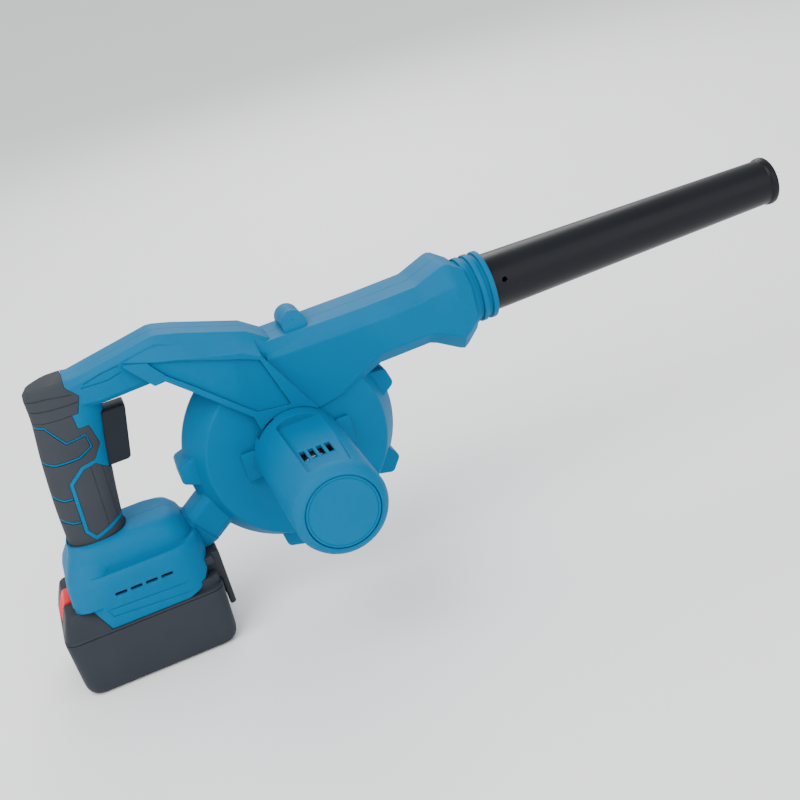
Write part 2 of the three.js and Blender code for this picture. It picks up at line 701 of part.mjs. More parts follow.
const hollowed = joined(
  cutBy(outerShape, airWay, handleHollow, packWay, coverWay, ...rubberPockets),
  rail(1), rail(-1), ...bossPosts, intakeCollar);
const housing = cutBy(
  hollowed, motorHole, podSeat, intakeHole, sleeveSeat, triggerMouth, ...footSlots, ...screwHoles);
const rightSide = block(-100, 400, -100, -halfGap, -10, 300);
const leftSide = block(-100, 400, halfGap, 100, -10, 300);
piece('right_housing', housing.intersect(rightSide), 'shell');
piece('left_housing', housing.intersect(leftSide), 'shell');

screwPlaces.forEach(([x, z], i) => {
  const screw = turned('y', [
    [0, -screwDepth], [screwRadius, -screwDepth], [screwRadius, screwSeatY + gap],
    [screwHeadRadius, screwSeatY + gap], [screwHeadRadius, screwSeatY + gap + screwHeadHeight],
    [0, screwSeatY + gap + screwHeadHeight],
  ], [x, 0, z], 8);
  piece(`housing_screw_${i + 1}`, screw, 'steel');
});

// ---------------------------------------------------------------- grip rubber and trigger

piece('grip_wrap', wrap, 'rubber');
piece('grip_front_pad', pad, 'rubber');
piece('grip_top_cap', cap, 'rubber');

const plungerRadius = 2.2;
const triggerHoleRadius = 4.8;
const triggerHoleEnd = 22;
const trigger = cutBy(
  prism('y', triggerOutline, -triggerHalfWidth, triggerHalfWidth),
  rod('x', triggerHoleRadius, triggerInnerX - 1, triggerHoleEnd, [0, 0, triggerZ], 16),
);
piece('trigger', trigger, 'black');

const plungerFrom = switchFrontX - 1.5;
const plunger = rod('x', plungerRadius, plungerFrom, triggerHoleEnd - gap, [0, 0, triggerZ], 12);
piece('switch_plunger', plunger, 'brass');

const switchModule = cutBy(
  block(-12.5, switchFrontX, -switchHalfWidth, switchHalfWidth, 147, 171),
  rod('x', plungerRadius + 0.4, plungerFrom - triggerTravel - 1, switchFrontX + 1, [0, 0, triggerZ], 12),
);
piece('switch_module', switchModule, 'black');

const triggerWire = 0.5;
const triggerSpring = coil(
  'x', [switchFrontX + triggerWire + gap, 0, triggerZ], 3.6, triggerWire,
  triggerHoleEnd - switchFrontX - 2 * (triggerWire + gap), 6);
piece('trigger_spring', triggerSpring, 'steel');

// ---------------------------------------------------------------- terminals, board and wires

const terminalFloor = packTop + 0.4;
const terminalTop = terminalFloor + 8;
const bladeFrom = slotRear + 2;
const bladePlace = (side, extra) => block(
  bladeFrom - extra, bladeFrom + 22 + extra,
  side * slotSpacing / 2 - bladeThickness / 2 - extra, side * slotSpacing / 2 + bladeThickness / 2 + extra,
  deckHeight + 1.5, terminalTop - 1 + extra);
piece('terminal_block', cutBy(
  block(6, 46, -boardHalfWidth, boardHalfWidth, terminalFloor, terminalTop),
  bladePlace(1, gap), bladePlace(-1, gap)), 'black');
piece('terminal_blade_plus', bladePlace(1, 0), 'brass');
piece('terminal_blade_minus', bladePlace(-1, 0), 'brass');
const controlZ = terminalTop + gap;
const controlBoard = block(-22, 44, -boardHalfWidth, boardHalfWidth, controlZ, controlZ + boardThickness);
piece('control_board', controlBoard, 'board');

const wireRadius = 0.8;
const wire = (points, steps) => swept(
  new THREE.CatmullRomCurve3(points.map((point) => new THREE.Vector3(...point))), wireRadius, steps, 5);
const supplyWire = (side) => wire([
  [-10, side * 5, controlZ + boardThickness + gap], [-10, side * 5, 88], [-9, side * 4, 115],
  [-7, side * 4, 147 - gap],
], 10);
piece('supply_wire_red', supplyWire(1), 'red');
piece('supply_wire_black', supplyWire(-1), 'black');
const wireRun = -drumHalfWidth - gap - wireRadius; // beside the fan housing's wall
const motorRearY = motorFrontY + motorLength;
// A place in the gap between the motor and the pod, at an angle round the motor's axis.
const wireRing = (motorRadius + podRadius - podWall) / 2;
const inPod = (y, degrees) => {
  const angle = THREE.MathUtils.degToRad(degrees);
  return [drumX + wireRing * Math.cos(angle), y, drumZ + wireRing * Math.sin(angle)];
};
const motorWire = (spread, degrees) => wire([
  [-6 + spread, -4, 171 + gap], [-4 + spread, -4 - spread / 2, 181], [20, -6 - spread, 193],
  [64, -10 - spread, 193], [86 + spread, -15 - spread / 3, 183], [97 + spread, wireRun, 170],
  [106 + spread, wireRun, 159], [114 + spread, wireRun, drumZ + podRadius + 6.2],
  [118.5 + spread * 0.7, wireRun, drumZ + podRadius - 3.8],
  inPod(wireRun - 1.5, degrees), inPod(wireRun - 9, degrees),
  inPod(-60, degrees), inPod(-motorRearY - 5, degrees),
], 26);
piece('motor_wire_red', motorWire(0, 134), 'red');
piece('motor_wire_black', motorWire(4, 125), 'black');

// ---------------------------------------------------------------- motor pod

const podCentre = [drumX, 0, drumZ];
const podFrontY = -drumHalfWidth - gap;
const podBottomY = -podEndY + podCapThickness + gap; // the step that the end cap rests on
const podNeck = podCapRadius + 1.2; // outer edge of the pod's end face
const podShell = turned('y', [
  [podRadius - podWall, podFrontY], [podRadius, podFrontY], [podRadius, -podEndY + 7],
  [podRadius - 1.4, -podEndY + 3.4], [podNeck + 0.6, -podEndY + 0.6], [podNeck, -podEndY],
  [podCapRadius + gap, -podEndY], [podCapRadius + gap, podBottomY],
  [podCapRadius - 2, podBottomY], [podCapRadius - 2, podBottomY + 2], [podCapRadius + 1, podBottomY + 4],
  [podRadius - podWall, -podEndY + 10],
], podCentre, 32);
const recessX = drumX + 2.2;
const recessZ = drumZ + podCapRadius + 1; // the flat floor of the recess in the pod's top
const recessPlan = (grow) => [
  [recessX - 15 - grow, -42 + grow], [recessX - 14 - grow, -podEndY + 8 - grow],
  [recessX + 13 + grow, -podEndY + 8 - grow], [recessX + 17 + grow, -42 + grow],
];
const podRecess = prism('z', recessPlan(0), recessZ, recessZ + 10);
const podPocket = prism('z', recessPlan(1.6), recessZ - 2, recessZ + 8)
  .subtract(podRecess)
  .intersect(rod('y', podRadius - 1, -podEndY + 4, -30, podCentre, 32));
const topVents = Array.from({ length: ventCount }, (_, i) => {
  const x = recessX + 1 + (i - ventCount / 2) * ventPitch + (ventPitch - ventWidth) / 2;
  return block(x, x + ventWidth, -102, -86, recessZ - 8, recessZ + 8);
});
const sideVents = Array.from({ length: 5 }, (_, i) => {
  const y = -64 - i * 11;
  return block(drumX - 40, drumX - 21, y - 5, y, drumZ - 17, drumZ - 5);
});
const tabHalfHeight = 10;
const podTab = (side) => {
  const [x0, x1] = side < 0
    ? [drumX - podRadius - 8, drumX - podRadius + 1.5]
    : [drumX + podRadius - 1.5, drumX + podRadius + 8];
  return block(x0, x1, podFrontY - 3, podFrontY, drumZ - tabHalfHeight, drumZ + tabHalfHeight);
};
const wireNotch = block(
  drumX - 24, drumX - 10, podFrontY - 7, podFrontY + 1, drumZ + podRadius - 20, drumZ + podRadius - 2);
const pod = cutBy(joined(cutBy(podShell, podRecess), podPocket, podTab(-1), podTab(1)),
  ...topVents, ...sideVents, wireNotch);
piece('motor_pod', pod, 'shell');
piece('pod_end_cap', turned('y', [
  [0, -podEndY], [podCapRadius - 0.8, -podEndY], [podCapRadius, -podEndY + 0.8],
  [podCapRadius, -podEndY + podCapThickness], [0, -podEndY + podCapThickness],
], podCentre, 32), 'shell');

// ---------------------------------------------------------------- motor

const canWall = 1.5;
const bearingRadius = 6;
const bearingWidth = 4;
const frontWall = 5.2;
piece('motor_can', turned('y', [
  [bearingRadius + 0.05, -motorFrontY], [motorRadius, -motorFrontY], [motorRadius, -motorRearY],
  [motorRadius - canWall, -motorRearY], [motorRadius - canWall, -motorFrontY - frontWall],
  [4.2, -motorFrontY - frontWall], [4.2, -motorFrontY - bearingWidth - gap],
  [bearingRadius + 0.05, -motorFrontY - bearingWidth - gap],
], podCentre, 28), 'steel');
const bellY = -motorRearY - gap;
piece('motor_end_bell', turned('y', [
  [bearingRadius + 0.05, bellY - 6], [motorRadius, bellY - 6], [motorRadius, bellY],
  [4.2, bellY], [4.2, bellY - 6 + bearingWidth + gap], [bearingRadius + 0.05, bellY - 6 + bearingWidth + gap],
], podCentre, 28), 'black');
const bearing = (from) => ring('y', shaftRadius + 0.05, bearingRadius, from, from + bearingWidth, podCentre, 20);
piece('front_bearing', bearing(-motorFrontY - bearingWidth), 'steel');
piece('rear_bearing', bearing(bellY - 6), 'steel');

const magnetInner = 16.5;
const magnet = (side) => {
  const arc = ring(
    'y', magnetInner, motorRadius - canWall - gap, -motorRearY + 16, -motorFrontY - frontWall - 3, podCentre, 28);
  const [z0, z1] = side > 0 ? [drumZ + 5, drumZ + 30] : [drumZ - 30, drumZ - 5];
  return arc.intersect(block(drumX - 30, drumX + 30, -200, 0, z0, z1));
};
piece('magnet_upper', magnet(1), 'magnet');
piece('magnet_lower', magnet(-1), 'magnet');

const rotorRadius = magnetInner - 0.8;
const rotorSlots = 10;
const slotCutters = Array.from({ length: rotorSlots }, (_, i) => {
  const angle = i / rotorSlots * Math.PI * 2;
  const x = drumX + rotorRadius * Math.cos(angle);
  const z = drumZ + rotorRadius * Math.sin(angle);
  return rod('y', 1.6, -200, 0, [x, 0, z], 6);
});
const bore = rod('y', shaftRadius + gap, -200, 50, podCentre, 16);
const coreFrom = -motorRearY + 18;
const coreTo = -motorFrontY - frontWall - 5;
piece('rotor_core', cutBy(rod('y', rotorRadius, coreFrom, coreTo, podCentre, 30), bore, ...slotCutters), 'copper');
const commutatorRadius = 6;
piece('commutator', ring(
  'y', shaftRadius + gap, commutatorRadius, -motorRearY + 3, coreFrom - 3, podCentre, 20), 'copper');
const brush = (side) => {
  const [x0, x1] = side > 0
    ? [drumX + commutatorRadius + 0.3, drumX + motorRadius - canWall - gap]
    : [drumX - motorRadius + canWall + gap, drumX - commutatorRadius - 0.3];
  return block(x0, x1, -motorRearY + 5, -motorRearY + 11, drumZ - 2.5, drumZ + 2.5);
};
piece('brush_front', brush(1), 'magnet');
piece('brush_rear', brush(-1), 'magnet');
const fanBackY = -drumHalfWidth + wall + 5;
const fanFrontY = drumHalfWidth - wall - 5;
piece('motor_shaft', rod('y', shaftRadius, bellY - 5.5, fanFrontY - 2, podCentre, 16), 'steel');

// ---------------------------------------------------------------- fan

const hubRadius = 10;
const bladeShape = (turn) => {
  const edge = (offset) => Array.from({ length: 3 }, (_, i) => {
    const along = i / 2;
    const radius = hubRadius + 6 + along * (fanRadius - hubRadius - 6);
    const angle = turn - along * 0.7 + offset / radius;
    return [drumX + radius * Math.cos(angle), drumZ + radius * Math.sin(angle)];
  });
  return [...edge(-0.9), ...edge(0.9).reverse()];
};
const fanDisc = turned('y', [
  [shaftRadius + 0.05, fanBackY], [fanRadius, fanBackY], [fanRadius, fanBackY + 2],
  [hubRadius + 4, fanBackY + 3], [hubRadius, fanBackY + 14], [shaftRadius + 0.05, fanBackY + 14],
], podCentre, 32);
const blades = Array.from({ length: bladeCount }, (_, i) =>
  prism('y', bladeShape(i / bladeCount * Math.PI * 2), fanBackY + 1, fanFrontY));
piece('impeller', joined(fanDisc, ...blades), 'fan');
piece('impeller_nut', cutBy(
  rod('y', 4.5, fanBackY + 14 + gap, fanBackY + 18, podCentre, 6),
  rod('y', shaftRadius + 0.05, fanBackY, fanBackY + 20, podCentre, 16)), 'brass');

// ---------------------------------------------------------------- intake cover

const coverSeatY = drumHalfWidth + gap;
const coverFaceY = drumHalfWidth + intakeCollarHeight + gap;
const coverEndY = coverFaceY + 3;
const sectorSlots = (inner, outer, count) => Array.from({ length: count }, (_, i) => {
  const middle = (i + 0.5) / count * Math.PI * 2;
  const arc = (radius, direction) => Array.from({ length: 3 }, (_, k) => {
    const half = Math.PI / count - 1.2 / radius;
    const angle = middle + direction * half * (k - 1);
    return [drumX + radius * Math.cos(angle), drumZ + radius * Math.sin(angle)];
  });
  return prism('y', [...arc(inner, 1), ...arc(outer, -1)], coverFaceY - 1, coverEndY + 1);
});
const cover = cutBy(
  turned('y', [
    [0, coverFaceY], [coverInner, coverFaceY], [coverInner, coverSeatY], [coverOuter, coverSeatY],
    [coverOuter, coverEndY - 1], [coverOuter - 1, coverEndY], [0, coverEndY],
  ], podCentre, coverSides),
  ...sectorSlots(7, 14, 5), ...sectorSlots(16.4, 24, 7), ...sectorSlots(26.4, intakeRadius, 9),
);
piece('intake_cover', cover, 'shell');

// ---------------------------------------------------------------- outlet sleeve and nozzle

const outletCentre = [0, 0, nozzleAxisZ];
const sleeveBore = nozzleRootRadius + gap;
const sleeveProfile = [
  [sleeveBore, 257.3], [sleeveRadius + 2, 257.3], [sleeveRadius + 2, 260.3], [sleeveRadius, 260.3],
];
for (let i = 0; i < ribCount; i++) {
  const x = collarFront + 0.6 + i * ribPitch - (i ? 1 : 0) * 0.4;
  sleeveProfile.push([sleeveRadius, x], [ribRadius, x + 0.5], [ribRadius, x + ribWidth - 0.5]);
  sleeveProfile.push([sleeveRadius, x + ribWidth]);
}
sleeveProfile.push([sleeveBore, sleeveProfile.at(-1)[1]]);
piece('outlet_sleeve', turned('x', sleeveProfile, outletCentre, 24), 'shell');

const nozzleProfile = [
  [nozzleRootRadius, nozzleRootX], [nozzleRootRadius, nozzleConeX],
  [nozzleTipRadius, nozzleTipX - beadWidth - 1], [nozzleTipRadius + beadHeight, nozzleTipX - beadWidth],
  [nozzleTipRadius + beadHeight, nozzleTipX - 1], [nozzleTipRadius + beadHeight - 0.8, nozzleTipX],
  [nozzleTipRadius - nozzleWall, nozzleTipX], [nozzleRootRadius - nozzleWall, nozzleConeX],
  [nozzleRootRadius - nozzleWall, nozzleRootX],
];
const latchHole = rod('y', 1.8, -30, 0, [nozzleConeX + 4.5, 0, nozzleAxisZ + 5], 10);
piece('nozzle_tube', turned('x', nozzleProfile, outletCentre, 24).subtract(latchHole), 'nozzle');

export default blower;
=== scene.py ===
# %% [markdown]
# # A cordless leaf blower, dressed over its CAD model
# The CAD model is already packed: every part has its place, its body and its joint. This notebook
# adds what a camera sees. Each step builds a few pieces in millimetres, turns them into meshes in
# metres, gives them a material and says which body they ride on.

# %% Load the frame
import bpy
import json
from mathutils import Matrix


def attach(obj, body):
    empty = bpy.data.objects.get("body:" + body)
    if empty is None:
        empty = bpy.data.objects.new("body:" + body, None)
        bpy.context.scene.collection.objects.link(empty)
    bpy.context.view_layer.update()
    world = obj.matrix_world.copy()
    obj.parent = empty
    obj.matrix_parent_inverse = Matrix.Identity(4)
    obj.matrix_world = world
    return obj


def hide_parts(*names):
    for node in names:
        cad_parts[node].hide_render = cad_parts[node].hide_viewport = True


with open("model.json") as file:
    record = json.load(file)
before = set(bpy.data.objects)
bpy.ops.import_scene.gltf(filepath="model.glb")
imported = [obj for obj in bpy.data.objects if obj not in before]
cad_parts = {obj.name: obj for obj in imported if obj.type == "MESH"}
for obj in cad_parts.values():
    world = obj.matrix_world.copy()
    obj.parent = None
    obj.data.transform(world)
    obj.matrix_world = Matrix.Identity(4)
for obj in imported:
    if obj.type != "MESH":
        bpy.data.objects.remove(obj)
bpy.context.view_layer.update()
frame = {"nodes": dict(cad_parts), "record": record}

import json
import math

import bmesh
import bpy
from mathutils import Matrix, Vector

# %% [markdown]
# ## The camera first
# The blower is seen from its motor side, from above, with the camera rolled so that the nozzle
# points up to the right. The three axes are the camera's right, up and back.

# %% Camera
SENSOR_WIDTH = 36
LENS_LENGTH = 58.454
camera = bpy.data.objects.new("camera", bpy.data.cameras.new("camera"))
bpy.context.scene.collection.objects.link(camera)
camera.data.sensor_width = SENSOR_WIDTH
camera.data.lens = LENS_LENGTH
CAMERA_PLACE = Vector((0.0366, -0.8044, 0.4710))
CAMERA_AXES = (
    (0.916038, -0.31497, -0.24833),
    (0.349025, 0.320908, 0.880454),
    (-0.197626, -0.893203, 0.403897),
)
camera.matrix_world = Matrix.LocRotScale(CAMERA_PLACE, Matrix(CAMERA_AXES).transposed(), None)
bpy.context.scene.camera = camera
print("camera at", tuple(round(v, 3) for v in camera.location))

# %% [markdown]
# ## A pale floor and soft light
# One wide floor fills the view. A large key light from above left, a fill from the front and a
# rim light behind stand in for a photographer's soft boxes, and the sky lifts every shadow.

# %% Floor and lights
def procedural(name):
    material = bpy.data.materials.new(name)
    material.use_nodes = True
    nodes = material.node_tree.nodes
    return material, nodes, material.node_tree.links, nodes["Principled BSDF"]


floor_mesh = bpy.data.meshes.new("floor")
FLOOR = 40
FLOOR_DROP = 0.0003  # keeps the floor just clear of the battery's flat underside
floor_mesh.from_pydata(
    [(-FLOOR, -FLOOR, 0), (FLOOR, -FLOOR, 0), (FLOOR, FLOOR, 0), (-FLOOR, FLOOR, 0)], [], [(0, 1, 2, 3)]
)
floor = bpy.data.objects.new("floor", floor_mesh)
bpy.context.scene.collection.objects.link(floor)
floor.location.z = -FLOOR_DROP
paper, paper_nodes, paper_links, paper_shader = procedural("paper floor")
paper_noise = paper_nodes.new("ShaderNodeTexNoise")
paper_noise.inputs["Scale"].default_value = 3
paper_ramp = paper_nodes.new("ShaderNodeValToRGB")
paper_ramp.color_ramp.elements[0].color = (0.93, 0.93, 0.935, 1)
paper_ramp.color_ramp.elements[1].color = (0.96, 0.96, 0.96, 1)
paper_coords = paper_nodes.new("ShaderNodeTexCoord")
paper_links.new(paper_coords.outputs["Object"], paper_noise.inputs["Vector"])
paper_links.new(paper_noise.outputs["Fac"], paper_ramp.inputs["Fac"])
paper_links.new(paper_ramp.outputs["Color"], paper_shader.inputs["Base Color"])
paper_shader.inputs["Roughness"].default_value = 0.9
floor_mesh.materials.append(paper)

LIGHTS = [  # name, place, aim, size, watts
    ("key", (-0.7, -0.6, 1.5), (0.1, 0, 0.12), 1.3, 26),
    ("fill", (0.9, -1.6, 0.9), (0.15, 0, 0.1), 1.6, 13),
    ("rim", (0.6, 1.3, 1.2), (0.1, 0, 0.12), 1.0, 16),
]
for name, place, aim, size, watts in LIGHTS:
    lamp = bpy.data.objects.new(name, bpy.data.lights.new(name, "AREA"))
    lamp.data.size = size
    lamp.data.energy = watts
    lamp.location = place
    lamp.rotation_mode = "QUATERNION"
    lamp.rotation_quaternion = (Vector(aim) - Vector(place)).to_track_quat("-Z", "Y")
    bpy.context.scene.collection.objects.link(lamp)
world = bpy.data.worlds.new("soft sky")
bpy.context.scene.world = world
world.use_nodes = True
world.node_tree.nodes["Background"].inputs["Color"].default_value = (0.97, 0.985, 1, 1)
world.node_tree.nodes["Background"].inputs["Strength"].default_value = 1.0
print("lights:", [name for name, *_ in LIGHTS])

# %% [markdown]
# ## Shape tools
# A loft joins rings that have the same number of points. A turned shape spins a profile of
# (radius, distance along the axis). A prism pushes an outline along an axis and can round its
# edges. Cut, join and overlap use the manifold solver, so that every result is a closed mesh.

# %% Meshes from rings, profiles and outlines
MM = 0.001


def shape(points, faces):
    mesh = bpy.data.meshes.new("shape")
    mesh.from_pydata([Vector(p) * MM for p in points], [], faces)
    work = bmesh.new()
    work.from_mesh(mesh)
    bmesh.ops.remove_doubles(work, verts=work.verts, dist=1e-7)
    bmesh.ops.recalc_face_normals(work, faces=work.faces)
    work.to_mesh(mesh)
    work.free()
    made = bpy.data.objects.new("shape", mesh)
    bpy.context.scene.collection.objects.link(made)
    return made


def loft(rings):
    count = len(rings[0])
    faces = []
    for level in range(len(rings) - 1):
        for i in range(count):
            a = level * count + i
            b = level * count + (i + 1) % count
            faces.append((a, b, b + count, a + count))
    last = (len(rings) - 1) * count
    faces.append(tuple(range(count)))
    faces.append(tuple(range(last, last + count)))
    return shape([p for ring in rings for p in ring], faces)


def rounded(outline, radius, steps=4, closed=True):
    """The outline with each corner replaced by a short curve."""
    result = []
    count = len(outline)
    for i, corner in enumerate(outline):
        if not closed and i in (0, count - 1):
            result.append(tuple(corner))
            continue
        corner = Vector(corner)
        before = Vector(outline[i - 1]) - corner
        after = Vector(outline[(i + 1) % count]) - corner
        half = before.angle(after) / 2
        reach = radius / max(math.tan(half), 0.05)
        reach = min(reach, before.length * 0.47, after.length * 0.47)
        start = corner + before.normalized() * reach
        end = corner + after.normalized() * reach
        for k in range(steps + 1):
            s = k / steps
            result.append(tuple(start * (1 - s) ** 2 + corner * 2 * s * (1 - s) + end * s**2))
    return result


def grown(outline, distance):
    """The outline moved outwards, or inwards where the distance is negative."""
    count = len(outline)
    area = sum(
        outline[i][0] * outline[(i + 1) % count][1] - outline[(i + 1) % count][0] * outline[i][1]
        for i in range(count)
    )
    side = math.copysign(distance, area * distance)
    result = []
    for i, corner in enumerate(outline):
        corner = Vector(corner)
        before = (corner - Vector(outline[i - 1])).normalized()
        after = (Vector(outline[(i + 1) % count]) - corner).normalized()
        normal = Vector((before.y + after.y, -before.x - after.x)).normalized()
        reach = side / max(0.4, normal.x * before.y - normal.y * before.x)
        result.append(tuple(corner + normal * reach))
    return result


def placed(axis, u, v, along):
    """A point from two outline axes and a distance: (y, z), (x, z) or (x, y) for x, y or z."""
    return {"x": (along, u, v), "y": (u, along, v), "z": (u, v, along)}[axis]


def prism(axis, outline, start, end, edge=0):
    layers = [(0, start), (0, end)]
    if edge:
        layers = [
            (-edge, start), (-edge * 0.3, start + edge * 0.3), (0, start + edge),
            (0, end - edge), (-edge * 0.3, end - edge * 0.3), (-edge, end),
        ]
    return loft([
        [placed(axis, u, v, along) for u, v in grown(outline, inset)] for inset, along in layers
    ])


def turned(axis, profile, centre=(0, 0, 0), sides=96):
    """A closed profile turned round an axis. A profile that starts on the axis ends on it."""
    loop = list(profile)
    if loop[0][0] != 0:
        loop.append(loop[0])
    points = []
    for i in range(sides):
        angle = i / sides * math.tau
        for radius, along in loop:
            across = (radius * math.cos(angle), radius * math.sin(angle))
            points.append(tuple(Vector(placed(axis, *across, along)) + Vector(centre)))
    count = len(loop)
    faces = []
    for i in range(sides):
        j = (i + 1) % sides
        for k in range(count - 1):
            corners = [i * count + k, j * count + k, j * count + k + 1, i * count + k + 1]
            if loop[k][0] == 0:
                corners.pop(0)
            elif loop[k + 1][0] == 0:
                corners.pop()
            faces.append(tuple(corners))
    return shape(points, faces)


def rod(axis, radius, start, end, centre=(0, 0, 0), sides=64, edge=0):
    profile = [(0, start), (radius, start), (radius, end), (0, end)]
    if edge:
        profile = rounded(profile, edge, 3, closed=False)
    return turned(axis, profile, centre, sides)


def block(x0, x1, y0, y1, z0, z1, edge=0):
    return prism("z", [(x0, y0), (x1, y0), (x1, y1), (x0, y1)], z0, z1, edge)


# %% Joining and cutting
def bake(body):
    depsgraph = bpy.context.evaluated_depsgraph_get()
    baked = bpy.data.meshes.new_from_object(body.evaluated_get(depsgraph))
    body.modifiers.clear()
    body.data = baked
    return body


def combine(body, tools, operation):
    for tool in tools:
        step = body.modifiers.new("step", "BOOLEAN")
        step.solver = "MANIFOLD"
        step.operation = operation
        step.object = tool
    bake(body)
    for tool in tools:
        bpy.data.objects.remove(tool)
    return body


def join(body, *tools):
    return combine(body, tools, "UNION")


def cut(body, *tools):
    return combine(body, tools, "DIFFERENCE")


def overlap(body, *tools):
    return combine(body, tools, "INTERSECT")


def copy_of(body):
    twin = bpy.data.objects.new("copy", body.data.copy())
    bpy.context.scene.collection.objects.link(twin)
    return twin


def keep(name, made, body, material, replaced=(), smooth=32):
    """Names a piece, gives it its material, smooths it below an angle, ties it to its body and hides the
    CAD nodes it replaces.
    """
    made.name = made.data.name = name
    made.data.materials.clear()
    made.data.materials.append(material)
    for face in made.data.polygons:
        face.use_smooth = True
        face.material_index = 0
    made.data.set_sharp_from_angle(angle=math.radians(smooth))
    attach(made, body)
    if replaced:
        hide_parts(*replaced)
    print(f"{name}: {len(made.data.polygons)} faces, rides on {body}")
    return made


# %% [markdown]
# ## Copies by Geometry Nodes
# Repeated things are one shape and a rule. The rule places a row of copies, each one step further
# and one turn more, then makes them real and gives them their material.

# %% The row of copies
def row_rule():
    tree = bpy.data.node_groups.new("row of copies", "GeometryNodeTree")
    sockets = [
        ("Shape", "NodeSocketObject"), ("Count", "NodeSocketInt"), ("Step", "NodeSocketVector"),
        ("Turn", "NodeSocketVector"), ("Material", "NodeSocketMaterial"),
    ]
    for name, kind in sockets:
        tree.interface.new_socket(name, in_out="INPUT", socket_type=kind)
    tree.interface.new_socket("Geometry", in_out="OUTPUT", socket_type="NodeSocketGeometry")
    kinds = {
        "inputs": "NodeGroupInput", "outputs": "NodeGroupOutput", "line": "GeometryNodeMeshLine",
        "shape": "GeometryNodeObjectInfo", "index": "GeometryNodeInputIndex",
        "turn": "ShaderNodeVectorMath", "copies": "GeometryNodeInstanceOnPoints",
        "real": "GeometryNodeRealizeInstances", "paint": "GeometryNodeSetMaterial",
    }
    made = {name: tree.nodes.new(kind) for name, kind in kinds.items()}
    made["turn"].operation = "MULTIPLY"
    wires = [
        ("inputs", "Count", "line", "Count"), ("inputs", "Step", "line", "Offset"),
        ("inputs", "Shape", "shape", "Object"), ("inputs", "Turn", "turn", 0), ("index", 0, "turn", 1),
        ("line", 0, "copies", "Points"), ("shape", "Geometry", "copies", "Instance"),
        ("turn", 0, "copies", "Rotation"), ("copies", 0, "real", 0), ("real", 0, "paint", 0),
        ("inputs", "Material", "paint", "Material"), ("paint", 0, "outputs", 0),
    ]
    for source, out, target, into in wires:
        tree.links.new(made[source].outputs[out], made[target].inputs[into])
    return tree


ROW = row_rule()
ROW_SOCKETS = {s.name: s.identifier for s in ROW.interface.items_tree if s.in_out == "INPUT"}


def row(body, count, step=(0, 0, 0), turn=(0, 0, 0), material=None):
    """Copies of body: each is one step, in millimetres, and one turn, in degrees, past the last."""
    carrier = shape([(0, 0, 0)], [])
    rule = carrier.modifiers.new("row", "NODES")
    rule.node_group = ROW
    settings = {
        "Shape": body, "Count": count, "Step": Vector(step) * MM,
        "Turn": Vector(math.radians(v) for v in turn), "Material": material,
    }
    for name, value in settings.items():
        rule[ROW_SOCKETS[name]] = value
    bake(carrier)
    bpy.data.objects.remove(body)
    return carrier


def shifted(body, offset):
    body.data.transform(Matrix.Translation(Vector(offset) * MM))
    return body


print("rule inputs:", list(ROW_SOCKETS))
